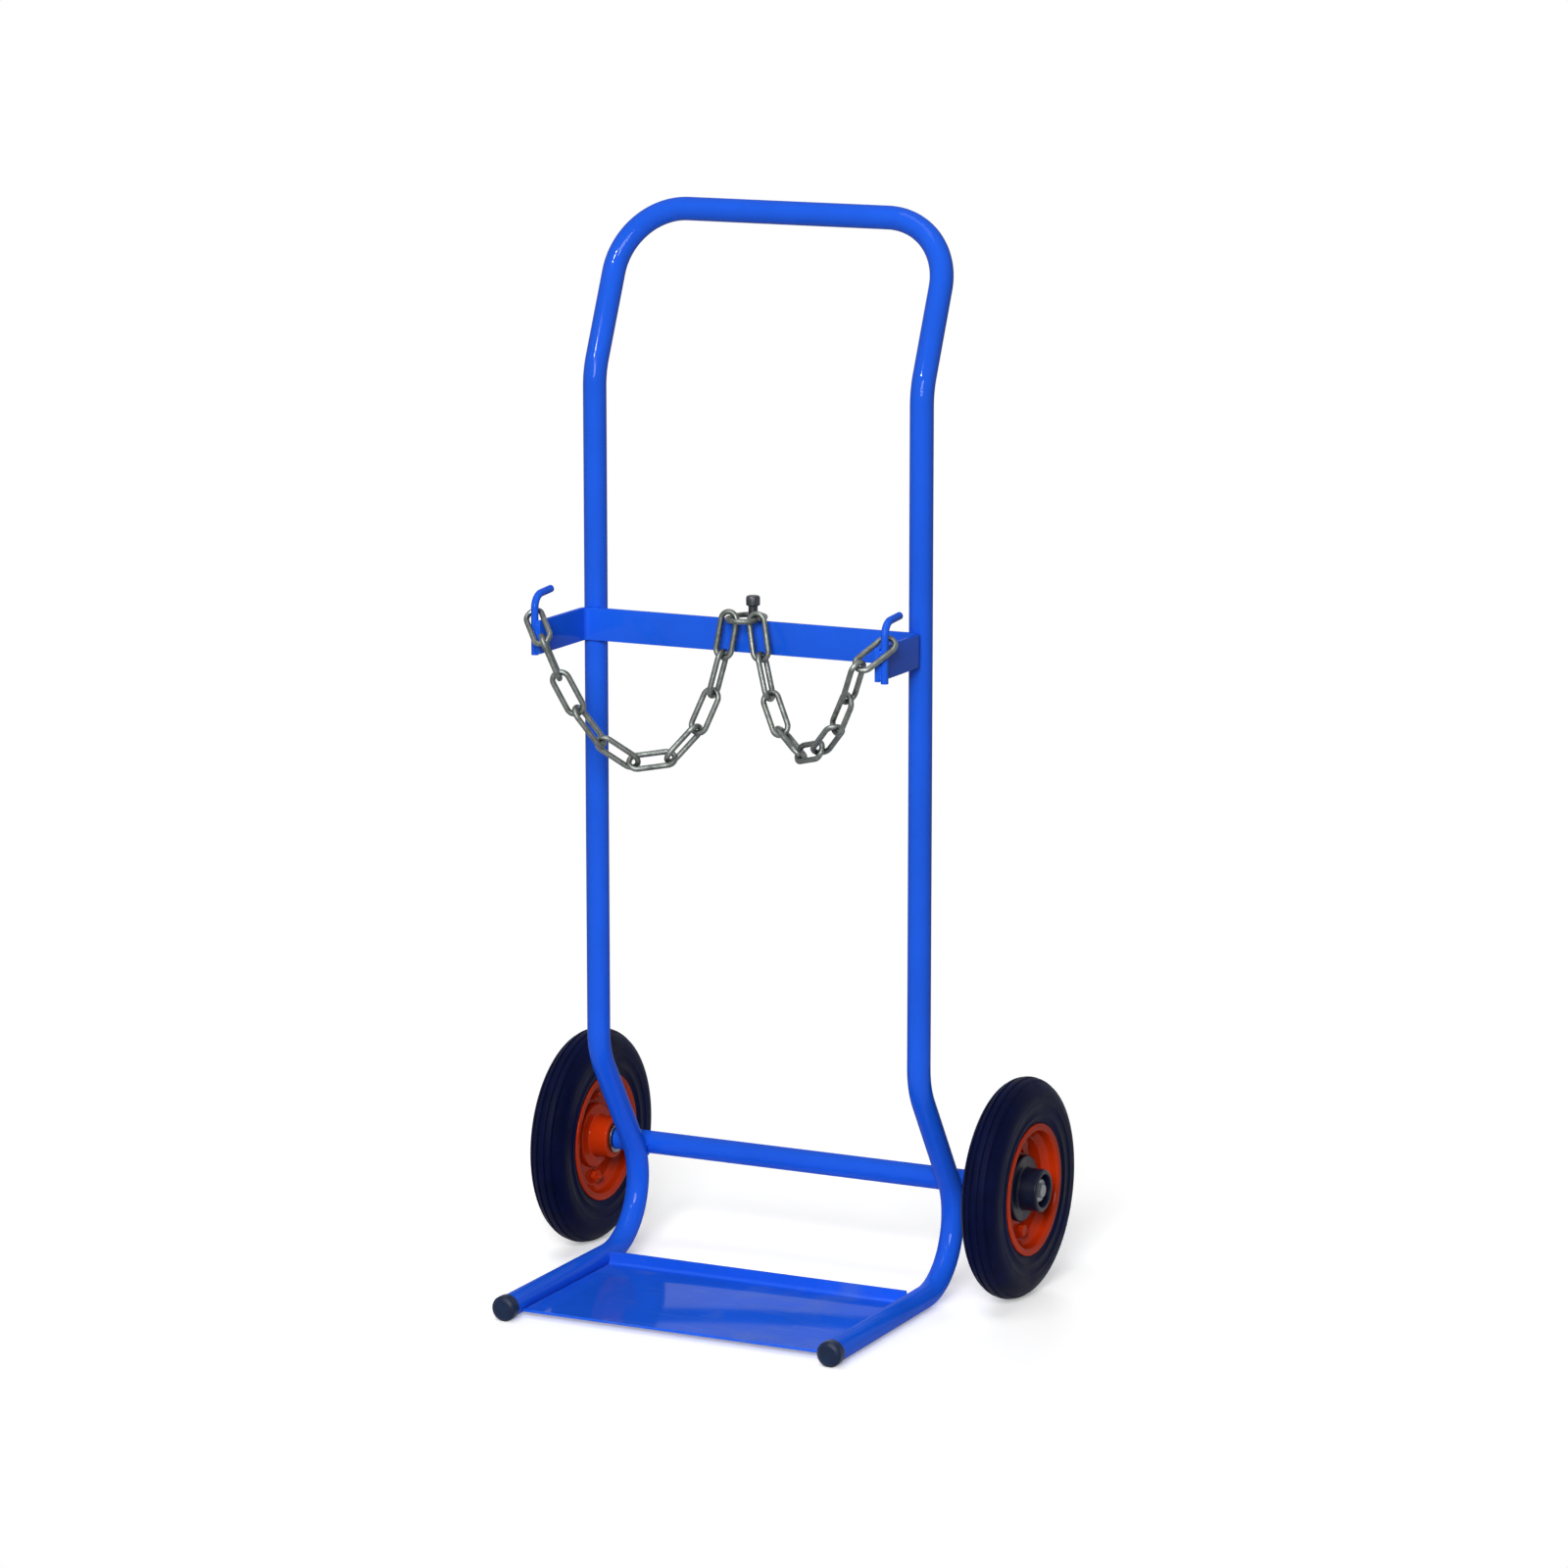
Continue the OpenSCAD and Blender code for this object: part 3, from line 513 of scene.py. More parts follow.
def ringed(name, section, steps, sharp, place=None):
    """Solid round the X axis, then placed; section gives its outline of (radius, along) at an angle."""
    bm = bmesh.new()
    rings, on_axis = [], 1e-6
    for k in range(steps):
        at = math.tau * k / steps
        outline = section(at)
        rings.append([bm.verts.new((x, r * math.cos(at), r * math.sin(at))) for r, x in outline])
    for here, ahead in zip(rings, rings[1:] + rings[:1]):
        for i in range(len(outline)):
            j = (i + 1) % len(outline)
            if max(outline[i][0], outline[j][0]) > on_axis:
                bm.faces.new((here[i], here[j], ahead[j], ahead[i]))
    if place is not None:
        bmesh.ops.transform(bm, matrix=place, verts=bm.verts)
    return mesh_from(bm, name, sharp)


def turned(name, outline, steps=96, place=None, sharp=40.0):
    """Solid of a closed outline of (radius, along) turned round the X axis, then placed."""
    return ringed(name, lambda at: outline, steps, sharp, place)


def hex_piece(name, flats, height, chamfer, bore=0.0):
    """Hexagon along +X with chamfered corners at both ends, drilled where bore is above zero."""
    face_share, chamfer_angle = 0.97, math.radians(30.0)
    apothem, inner = flats / 2, bore / 2
    flat_r = apothem * face_share

    def section(at):
        reach = apothem / math.cos(math.remainder(at, math.tau / 6))
        drop = min(chamfer, (reach - flat_r) * math.tan(chamfer_angle))
        return [
            (inner, 0.0), (flat_r, 0.0), (reach, drop),
            (reach, height - drop), (flat_r, height), (inner, height)]

    return ringed(name, section, steps=72, sharp=25.0)


def extruded(name, outline, axis, low, high, edge):
    """Prism of a closed outline, from low to high along X or Z, with its long edges eased."""
    bm = bmesh.new()
    put = (lambda p, t: (t, p[0], p[1])) if axis == "X" else (lambda p, t: (p[0], p[1], t))
    ends = [[bm.verts.new(put(p, t)) for p in outline] for t in (low, high)]
    caps = [bm.faces.new(ring) for ring in ends]
    for i in range(len(outline)):
        j = (i + 1) % len(outline)
        bm.faces.new((ends[0][i], ends[0][j], ends[1][j], ends[1][i]))
    bmesh.ops.recalc_face_normals(bm, faces=bm.faces)
    rims = [e for cap in caps for e in cap.edges]
    bmesh.ops.bevel(bm, geom=rims, offset=edge, segments=3, profile=0.5, affect="EDGES", clamp_overlap=True)
    return mesh_from(bm, name, 30.0)


def threaded(radius, start, end, pitch, depth):
    """Outline points of a threaded stretch, ridge by ridge, with a chamfered end."""
    points, root = [], radius - depth
    crest_from, crest_to = 0.4 * pitch, 0.6 * pitch
    ridges = max(1, int((end - start) / pitch))
    for i in range(ridges):
        at = start + i * pitch
        points += [(root, at), (radius, at + crest_from), (radius, at + crest_to)]
    return points + [(root, start + ridges * pitch), (root, end - depth), (radius - 2 * depth, end)]


def joined(name, *meshes):
    """One mesh from several."""
    bm = bmesh.new()
    for mesh in meshes:
        bm.from_mesh(mesh)
        bpy.data.meshes.remove(mesh)
    made = bpy.data.meshes.new(name)
    bm.to_mesh(made)
    bm.free()
    return smooth(made, 30.0)


def moved(mesh, matrix):
    """The mesh in another place; a mirrored one keeps its faces outwards."""
    mesh.transform(matrix)
    if matrix.determinant() < 0.0:
        mesh.flip_normals()
    return mesh


def linked(name, data):
    """A new object in the scene."""
    made = bpy.data.objects.new(name, data)
    bpy.context.scene.collection.objects.link(made)
    return made


def dress(mesh, finish_name, body, *nodes):
    """Makes the mesh a piece of the same name that rides on a body and stands for frame nodes."""
    mesh.materials.clear()
    mesh.materials.append(finish(finish_name))
    piece = linked(mesh.name, mesh)
    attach(piece, body)
    if nodes:
        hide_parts(*nodes)


def coat(node, finish_name):
    """Gives a frame node that stays in view its finish."""
    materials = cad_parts[node].data.materials
    materials.clear()
    materials.append(finish(finish_name))


# Geometry node trees

SOCKETS = {
    float: "NodeSocketFloat",
    int: "NodeSocketInt",
    bpy.types.Object: "NodeSocketObject",
    bpy.types.Material: "NodeSocketMaterial",
}


class Tree(Nodes):
    """A geometry node tree under construction, with named inputs."""

    def __init__(self, name, inputs):
        """Inputs are given with a default value, or with the type of what they take."""
        super().__init__(bpy.data.node_groups.new(name, "GeometryNodeTree"))
        face = self.tree.interface
        face.new_socket("Geometry", in_out="INPUT", socket_type="NodeSocketGeometry")
        self.keys = {}
        for label, default in {**inputs, "Finish": bpy.types.Material}.items():
            bare = isinstance(default, type)
            kind = SOCKETS[default if bare else type(default)]
            socket = face.new_socket(label, in_out="INPUT", socket_type=kind)
            if not bare:
                socket.default_value = default
            self.keys[label] = socket.identifier
        face.new_socket("Geometry", in_out="OUTPUT", socket_type="NodeSocketGeometry")
        self.given = self.tree.nodes.new("NodeGroupInput").outputs
        self.result = self.tree.nodes.new("NodeGroupOutput").inputs["Geometry"]

    def attribute(self, name, kind):
        return self.out("GeometryNodeInputNamedAttribute", {"Name": name}, data_type=kind)

    def path(self):
        """The given edges as curves."""
        return self.out("GeometryNodeMeshToCurve", {"Mesh": self.given["Geometry"]})

    def swept(self, curve, diameter, sides, caps):
        """A round section along a curve."""
        section = self.out("GeometryNodeCurvePrimitiveCircle", {
            "Resolution": sides, "Radius": self.math("DIVIDE", diameter, 2.0)})
        return self.out("GeometryNodeCurveToMesh", {
            "Curve": curve, "Profile Curve": section, "Fill Caps": caps})

    def copies(self, piece):
        """A copy on each given point, turned by the point's own turn."""
        turn = self.attribute("turn", "FLOAT_VECTOR")
        return self.out("GeometryNodeInstanceOnPoints", {
            "Points": self.given["Geometry"], "Instance": piece, "Rotation": turn})

    def end(self, geometry):
        """Realizes the result, shades it smooth and gives it its finish."""
        real = self.out("GeometryNodeRealizeInstances", {"Geometry": geometry})
        soft = self.out("GeometryNodeSetShadeSmooth", {"Geometry": real})
        self.feed(self.result, self.out("GeometryNodeSetMaterial", {
            "Geometry": soft, "Material": self.given["Finish"]}))
        return self


def bent_rod_tree():
    """Sweeps a round section along a chain of edges whose corners are rounded by their own radius."""
    t = Tree("Bent rod", {"Diameter": 0.025, "Bend steps": 24, "Sides": 48})
    radius = t.attribute("bend_radius", "FLOAT")
    bent = t.out("GeometryNodeFilletCurve", {
        "Curve": t.path(), "Count": t.given["Bend steps"], "Radius": radius}, mode="POLY")
    return t.end(t.swept(bent, t.given["Diameter"], t.given["Sides"], True))


def link_tree():
    """Puts a round-ended wire link, swollen at its weld, on each point, turned by the point's own turn."""
    t = Tree("Chain links", {
        "Wire": 0.006, "Length": 0.049, "Width": 0.018, "Weld swell": 0.13, "Weld length": 0.005})
    almost_half, base, narrow = 0.4999, 2.718, -3.0
    block = t.out("GeometryNodeCurvePrimitiveQuadrilateral", {
        "Width": t.given["Length"], "Height": t.given["Width"]})
    ends = t.out("GeometryNodeFilletCurve", {
        "Curve": block, "Count": 16, "Radius": t.math("MULTIPLY", t.given["Width"], almost_half),
        "Limit Radius": True}, mode="POLY")
    even = t.out("GeometryNodeResampleCurve", {"Curve": ends, "Count": 88})
    where = t.node("ShaderNodeSeparateXYZ", {0: t.out("GeometryNodeInputPosition")}).outputs
    along = t.math("DIVIDE", where["X"], t.given["Weld length"])
    bell = t.math("POWER", base, t.math("MULTIPLY", t.math("MULTIPLY", along, along), narrow))
    on_side = t.math("GREATER_THAN", where["Y"], 0.0)
    size = t.math("ADD", 1.0, t.math("MULTIPLY", t.math("MULTIPLY", bell, on_side), t.given["Weld swell"]))
    swollen = t.out("GeometryNodeSetCurveRadius", {"Curve": even, "Radius": size})
    return t.end(t.copies(t.swept(swollen, t.given["Wire"], 20, False)))


def copies_tree():
    """Puts a copy of one piece on each point, turned by the point's own turn."""
    t = Tree("Set of fasteners", {"Piece": bpy.types.Object})
    piece = t.node("GeometryNodeObjectInfo", {"Object": t.given["Piece"]})
    return t.end(t.copies(piece.outputs["Geometry"]))


def weld_tree():
    """Lays overlapping, uneven ripples of weld metal along chains of edges."""
    t = Tree("Weld bead", {"Bead": 0.0044, "Pitch": 0.0015, "Seed": 11})
    even = t.out("GeometryNodeResampleCurve", {
        "Curve": t.path(), "Length": t.given["Pitch"]}, mode="LENGTH")
    ripple = t.out("GeometryNodeMeshUVSphere", {
        "Segments": 12, "Rings": 6, "Radius": t.math("DIVIDE", t.given["Bead"], 2.0)})
    ahead = t.out("GeometryNodeInputTangent")
    heading = t.out("FunctionNodeAlignRotationToVector", {"Vector": ahead}, axis="Z")
    least, most = (0.92, 0.92, 0.62), (1.08, 1.08, 0.78)
    uneven = t.out("FunctionNodeRandomValue", {
        0: least, 1: most, "Seed": t.given["Seed"]}, data_type="FLOAT_VECTOR")
    return t.end(t.out("GeometryNodeInstanceOnPoints", {
        "Points": even, "Instance": ripple, "Rotation": heading, "Scale": uneven}))


TREES = {}


def grown(name, tree_maker, host, finish_name, **settings):
    """Mesh that a node tree grows on a host mesh; its inputs are named with underscores for spaces."""
    if tree_maker not in TREES:
        TREES[tree_maker] = tree_maker()
    tree = TREES[tree_maker]
    holder = linked(name, host)
    modifier = holder.modifiers.new("Grow", "NODES")
    modifier.node_group = tree.tree
    modifier[tree.keys["Finish"]] = finish(finish_name)
    for label, value in settings.items():
        modifier[tree.keys[label.replace("_", " ")]] = value
    graph = bpy.context.evaluated_depsgraph_get()
    graph.update()
    mesh = bpy.data.meshes.new_from_object(holder.evaluated_get(graph))
    bpy.data.objects.remove(holder)
    if not mesh.polygons:
        raise RuntimeError(f"{name}: the node tree made no faces")
    mesh.name = name
    return mesh


def path_host(name, *chains):
    """Edges along chains of (point, bend radius) for a sweep."""
    edges, first = [], 0
    for chain in chains:
        edges += [(first + i, first + i + 1) for i in range(len(chain) - 1)]
        first += len(chain)
    host = bpy.data.meshes.new(name)
    host.from_pydata([p for chain in chains for p, _ in chain], edges, [])
    radii = host.attributes.new("bend_radius", "FLOAT", "POINT")
    radii.data.foreach_set("value", [r for chain in chains for _, r in chain])
    return host


def place_host(name, places):
    """Points with a turn, one for each matrix."""
    host = bpy.data.meshes.new(name)
    host.from_pydata([m.translation for m in places], [], [])
    turns = host.attributes.new("turn", "FLOAT_VECTOR", "POINT")
    turns.data.foreach_set("vector", [v for m in places for v in m.to_euler("XYZ")])
    return host


# Places on the frame

def upright_y():
    """The plane of the uprights."""
    f = bpy.context.scene.trolley_frame
    return BAR_HIGH.y + f.weld_gap + f.tube_d / 2


def toe_bend(f):
    """Middle of the bend at the back of the toe, as (y, z)."""
    return TUBE_HIGH.y - f.tube_d / 2 - f.toe_bend_r, TUBE_LOW.z + f.tube_d / 2 + f.toe_bend_r


def hook_y(name, b):
    """Place of a hook's upright rod, from front to back."""
    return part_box(f"{name}_hook")[0].y + b.hook_d / 2


def on_axle(side):
    """Place of a wheel: its middle on the axle and its outer face towards the outside."""
    place = Matrix.Translation((side * WHEEL_X, AXLE.y, AXLE.z))
    return place if side > 0 else place @ MIRROR_X


# Operators

class TrolleyBuild:
    """What every building operator shares."""
    bl_options = {"REGISTER", "UNDO"}

    def execute(self, context):
        self.build(context.scene)
        return {"FINISHED"}


class TROLLEY_OT_frame_tube(TrolleyBuild, bpy.types.Operator):
    """Sweep the one bent tube from toe tip to toe tip over the handle"""
    bl_idname = "trolley.frame_tube"
    bl_label = "Frame tube"

    def build(self, scene):
        f = scene.trolley_frame
        r = f.tube_d / 2
        side_x, base, toe_z = TUBE_HIGH.x - r, upright_y(), TUBE_LOW.z + r
        bend_y, bend_z = toe_bend(f)
        leg_y = bend_y - base + f.toe_bend_r * math.cos(f.leg_lean)
        leg_z = bend_z + f.toe_bend_r * math.sin(f.leg_lean)
        kink_z = leg_z + leg_y / math.tan(f.leg_lean)
        corner_y = (kink_z - toe_z) * math.tan(f.leg_lean)
        right = [
            ((side_x, TUBE_LOW.y, toe_z), 0.0),
            ((side_x, base + corner_y, toe_z), f.toe_bend_r),
            ((side_x, base, kink_z), f.kink_r),
            ((side_x, base, f.handle_bend_z), f.kink_r),
            ((side_x, base + f.handle_back, TUBE_HIGH.z - r), f.handle_corner_r),
        ]
        left = [((-x, y, z), bend) for (x, y, z), bend in reversed(right)]
        mesh = grown("bent_frame_tube", bent_rod_tree, path_host("tube_path", right + left), "blue_paint",
                     Diameter=f.tube_d, Bend_steps=28, Sides=56)
        dress(mesh, "blue_paint", ROOT_BODY, "frame_tube")


class TROLLEY_OT_toe_caps(TrolleyBuild, bpy.types.Operator):
    """Turn the plastic caps on the toe tips"""
    bl_idname = "trolley.toe_caps"
    bl_label = "Toe caps"

    def build(self, scene):
        f = scene.trolley_frame
        for name, _ in SIDES:
            node = f"{name}_toe_cap"
            size, at = extent(node), middle(node)
            r, tall = size.x / 2, size.y
            grip, end = r - f.cap_wall, tall - f.cap_grip
            outline = rounded([
                (0.0, 0.0, 0.0), (r - f.cap_dome, 0.0, f.cap_round), (r, f.cap_round, f.cap_round),
                (r, tall, f.ease), (grip, tall, 0.0), (grip, end, 0.0), (0.0, end, 0.0)])
            tip = Matrix.Translation((at.x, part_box(node)[0].y, at.z))
            backwards = Matrix.Rotation(math.pi / 2, 4, "Z")
            mesh = turned(f"{name}_toe_plug", outline, steps=72, place=tip @ backwards)
            dress(mesh, "cap_plastic", ROOT_BODY, node)


class TROLLEY_OT_toe_plate(TrolleyBuild, bpy.types.Operator):
    """Bend the toe plate with its turned-up rear edge"""
    bl_idname = "trolley.toe_plate"
    bl_label = "Toe plate"

    def build(self, scene):
        f = scene.trolley_frame
        front, back, low, high = PLATE_LOW.y, PLATE_HIGH.y, PLATE_LOW.z, PLATE_HIGH.z
        t, inner = f.plate_t, f.plate_bend_r
        outline = rounded([
            (front, low, f.ease), (back, low, inner + t), (back, high, f.ease), (back - t, high, f.ease),
            (back - t, low + t, inner), (front, low + t, f.ease)], steps=8)
        mesh = extruded("bent_toe_plate", outline, "X", PLATE_LOW.x, PLATE_HIGH.x, f.plate_edge)
        dress(mesh, "plate_paint", ROOT_BODY, "toe_plate")


class TROLLEY_OT_bracket(TrolleyBuild, bpy.types.Operator):
    """Bend the flat bar and the hook rods, and turn the centre pin"""
    bl_idname = "trolley.bracket"
    bl_label = "Bracket, hooks and pin"

    def build(self, scene):
        b = scene.trolley_bracket
        t, inner, ease = b.bar_t, b.bar_bend_r, b.bar_end
        x, front, back = BAR_HIGH.x, BAR_LOW.y, BAR_HIGH.y
        outline = rounded([
            (-x, front, ease), (-x + t, front, ease), (-x + t, back - t, inner), (x - t, back - t, inner),
            (x - t, front, ease), (x, front, ease), (x, back, inner + t), (-x, back, inner + t)], steps=10)
        bar = extruded("bent_flat_bar", outline, "Z", BAR_LOW.z, BAR_HIGH.z, b.bar_edge)
        dress(bar, "blue_paint", ROOT_BODY, "bracket")
        for name, _ in SIDES:
            self.hook(b, name)
        self.pin(b)

    def hook(self, b, name):
        """A rod that rises from the arm and bends back over the top."""
        node = f"{name}_hook"
        x, y, foot = middle(node).x, hook_y(name, b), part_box(node)[0].z
        top, before_bend, steps = BAR_HIGH.z + b.hook_rise, 0.0005, 40
        centre = Vector((x, y + b.hook_r, top))
        points = [Vector((x, y, z)) for z in (foot, foot + b.hook_tip, top - before_bend)]
        for k in range(steps + 1):
            at = b.hook_turn * k / steps
            points.append(centre + b.hook_r * Vector((0.0, -math.cos(at), math.sin(at))))
        ahead = Vector((0.0, math.sin(b.hook_turn), math.cos(b.hook_turn)))
        points += [points[-1] + ahead * (b.hook_end - b.hook_tip), points[-1] + ahead * b.hook_end]
        host = path_host(f"{name}_hook_path", [(p, 0.0) for p in points])
        size = host.attributes.new("radius", "FLOAT", "POINT")
        size.data.foreach_set("value", [b.hook_foot] + [1.0] * (len(points) - 2) + [b.hook_point])
        mesh = grown(f"{name}_hook_rod", bent_rod_tree, host, "blue_paint",
                     Diameter=b.hook_d, Bend_steps=1, Sides=32)
        dress(mesh, "blue_paint", ROOT_BODY, node)

    def pin(self, b):
        """A steel pin with a head that keeps the ring on."""
        at, size = middle("centre_pin"), extent("centre_pin")
        r, head, tall = b.pin_d / 2, size.x / 2, size.z
        neck = tall - b.pin_head
        outline = rounded([
            (0.0, 0.0, 0.0), (r, 0.0, b.pin_ease), (r, neck, b.pin_neck),
            (head, neck + b.pin_neck, b.pin_under), (head, tall, b.pin_crown), (0.0, tall, 0.0)], steps=8)
        foot = Matrix.Translation((at.x, at.y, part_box("centre_pin")[0].z))
        upright = foot @ Matrix.Rotation(-math.pi / 2, 4, "Y")
        dress(turned("chain_pin", outline, steps=48, place=upright), "pin_steel", ROOT_BODY, "centre_pin")


class TROLLEY_OT_chain(TrolleyBuild, bpy.types.Operator):
    """Hang the chain: a ring on the pin, a link on each hook and two runs of free links"""
    bl_idname = "trolley.chain"
    bl_label = "Chain"

    def build(self, scene):
        c, b = scene.trolley_chain, scene.trolley_bracket
        gap = scene.trolley_frame.weld_gap
        wire_r, link_len = c.wire_d / 2, c.link_inner + c.wire_d
        ring_r = (c.ring_w - c.wire_d) / 2
        ring_back = middle("centre_pin").y + b.pin_d / 2 + wire_r + c.link_play
        ring_z = BAR_HIGH.z + wire_r + gap
        hold_in = Vector((-ring_r, ring_back - link_len + ring_r, ring_z))

        half = Matrix.Translation((link_len / 2, 0.0, 0.0))
        ring = Matrix.Translation((0.0, ring_back, ring_z)) @ Matrix.Rotation(-math.pi / 2, 4, "Z") @ half
        self.links(c, "pin_ring", [ring], c.ring_w, ROOT_BODY, "middle_ring")
        for name, links, turn, twist in (
                ("left", c.left_links, c.left_end_turn, c.left_twist),
                ("right", c.right_links, c.right_end_turn, c.right_twist)):
            end_link = self.end_link(c, b, gap, turn)
            hold_out = end_link @ Vector((link_len, 0.0, 0.0))
            run = self.run(c, hold_out, hold_in, end_link.to_3x3().col[1], links, twist)
            places = [m @ half for m in (end_link, *run)]
            if name == "right":
                places = [self.mirrored(m) for m in places]
            self.links(c, f"{name}_hook_link", places[:1], c.link_w, ROOT_BODY, f"{name}_end_link")
            self.links(c, f"{name}_chain_links", places[1:], c.link_w, f"{name}_run", f"{name}_chain")

    def end_link(self, c, b, gap, turn):
        """Place of the link on the left hook: far end behind the rod, near end in front of the arm."""
        rod = Vector((middle("left_hook").x, hook_y("left", b), BAR_HIGH.z))
        lie = (Matrix.Rotation(turn - math.pi / 2, 4, "Z") @ Matrix.Rotation(c.end_fall, 4, "Y")
               @ Matrix.Rotation(c.end_roll, 4, "X"))
        wire = lie.to_3x3().col[1] * (c.link_w - c.wire_d) / 2
        slope = math.tan(c.end_fall) / math.sin(turn)
        rest = (c.wire_d / 2 + gap) * math.hypot(1.0, slope)
        rod.z += rest - wire.z + (BAR_LOW.x + b.bar_t - rod.x - wire.x) * slope
        return Matrix.Translation(rod) @ lie @ Matrix.Translation((-c.end_back, 0.0, 0.0))

    def links(self, c, name, places, width, body, node):
        """Links on the given places; one that stands alone shows no weld."""
        mesh = grown(name, link_tree, place_host(f"{name}_places", places), "chain_steel",
                     Wire=c.wire_d, Length=c.link_inner + c.wire_d, Width=width - c.wire_d,
                     Weld_swell=c.weld_swell if len(places) > 1 else 0.0)
        dress(mesh, "chain_steel", body, node)

    def mirrored(self, place):
        """The same link on the other side; a link looks alike from both of its faces."""
        return MIRROR_X @ place @ Matrix.Diagonal((1.0, 1.0, -1.0, 1.0))

    def run(self, c, start, end, wire, links, twist):
        """Places of the free links of a run that hangs evenly from the wire at start to the ring at end."""
        way = end - start
        yaw, rise = math.atan2(way.y, way.x), math.atan2(way.z, math.hypot(way.x, way.y))
        flattest, steepest, halvings = 0.05, 6.0, 40
        for _ in range(halvings):
            steep = (flattest + steepest) / 2
            too_long = self.joints(c, links, steep)[links][0] > way.length
            flattest, steepest = (steep, steepest) if too_long else (flattest, steep)
        steep = (flattest + steepest) / 2
        spots = self.joints(c, links, steep)
        first = self.square_roll(wire, yaw, rise + self.slope(0, links, steep))
        last = self.square_roll(Vector((0.0, 1.0, 0.0)), yaw, rise + self.slope(links - 1, links, steep))
        half_turns = round((math.pi / 2 * (links - 1) + first - last) / math.pi)
        step = (last - first + math.pi * half_turns) / (links - 1)
        base = Matrix.Translation(start) @ Matrix.Rotation(yaw, 4, "Z") @ Matrix.Rotation(-rise, 4, "Y")
        places = []
        for i in range(links):
            roll = first + i * step + twist * math.sin(math.pi * i / (links - 1))
            spot = Matrix.Translation((spots[i][0], 0.0, spots[i][1]))
            sloped = Matrix.Rotation(-self.slope(i, links, steep), 4, "Y")
            places.append(base @ spot @ sloped @ Matrix.Rotation(roll, 4, "X"))
        return places

    def square_roll(self, wire, yaw, pitch):
        """Roll of a link, heading by yaw and rising by pitch, that lies square to the wire it holds."""
        side = Vector((-math.sin(yaw), math.cos(yaw), 0.0))
        above = Vector((-math.sin(pitch) * math.cos(yaw), -math.sin(pitch) * math.sin(yaw), math.cos(pitch)))
        return math.atan2(-wire.dot(side), wire.dot(above))

    def slope(self, i, links, steep):
        """Rise of a link; the run is level at its middle."""
        return math.atan(steep * (i - (links - 1) / 2))

    def joints(self, c, links, steep):
        """Starts of the links along and below the line between the held ends, and the far end last."""
        spots, x, z = [], 0.0, 0.0
        for i in range(links + 1):
            before = self.slope(max(i - 1, 0), links, steep)
            after = self.slope(min(i, links - 1), links, steep)
            free = c.link_play + c.turn_play * (1 - math.cos(after - before))
            gap = c.wire_d + (c.held_play if i in (0, links) else free)
            tilt = (before + after) / 2
            x, z = x - gap * math.cos(tilt), z - gap * math.sin(tilt)
            spots.append((x, z))
            x += (c.link_inner + c.wire_d) * math.cos(after)
            z += (c.link_inner + c.wire_d) * math.sin(after)
        return spots


class TROLLEY_OT_tyres(TrolleyBuild, bpy.types.Operator):
    """Turn the rubber tyres with their tread grooves"""
    bl_idname = "trolley.tyres"
    bl_label = "Tyres"

    def build(self, scene):
        outline = self.outline(scene.trolley_wheel)
        for name, side in SIDES:
            mesh = turned(f"{name}_rubber_tyre", outline, steps=144, place=on_axle(side), sharp=50.0)
            dress(mesh, "tyre_rubber", f"{name}_wheel", f"{name}_tyre")

    def tread(self, w, half, x):
        """Radius of the tread at a distance from the middle, grooves and their eased edges included."""
        radius = TYRE_D / 2 - half + math.sqrt(max(half * half - x * x, 0.0))
        for at in (w.groove_in, w.groove_out):
            edge = (abs(abs(x) - at) - w.groove_w / 2) / w.groove_ease
            radius -= w.groove_depth * min(1.0, max(0.0, 0.5 - edge / 2))
        return radius

    def outline(self, w):
        """Section of a tyre: over the tread, down one side wall to the rim and up the other."""
        half, lip, steps = TYRE_W / 2, w.rim_flange_d / 2, 150
        seat = w.rim_w / 2 - w.rim_t - w.press_gap
        across = [-half * math.cos(math.pi * k / steps) for k in range(steps + 1)]
        over = [(self.tread(w, half, x), x) for x in across]
        down = [(TYRE_D / 2 - half + r, half - depth) for r, depth in TYRE_SHOULDER]
        down += [(lip + r, half - depth) for r, depth in TYRE_RIB]
        down += [(lip + r, seat + out) for r, out in TYRE_FOOT]
        down.append((w.rim_bed_r + w.rim_t + w.press_gap, seat))
        return over + down + [(r, -x) for r, x in reversed(down)]


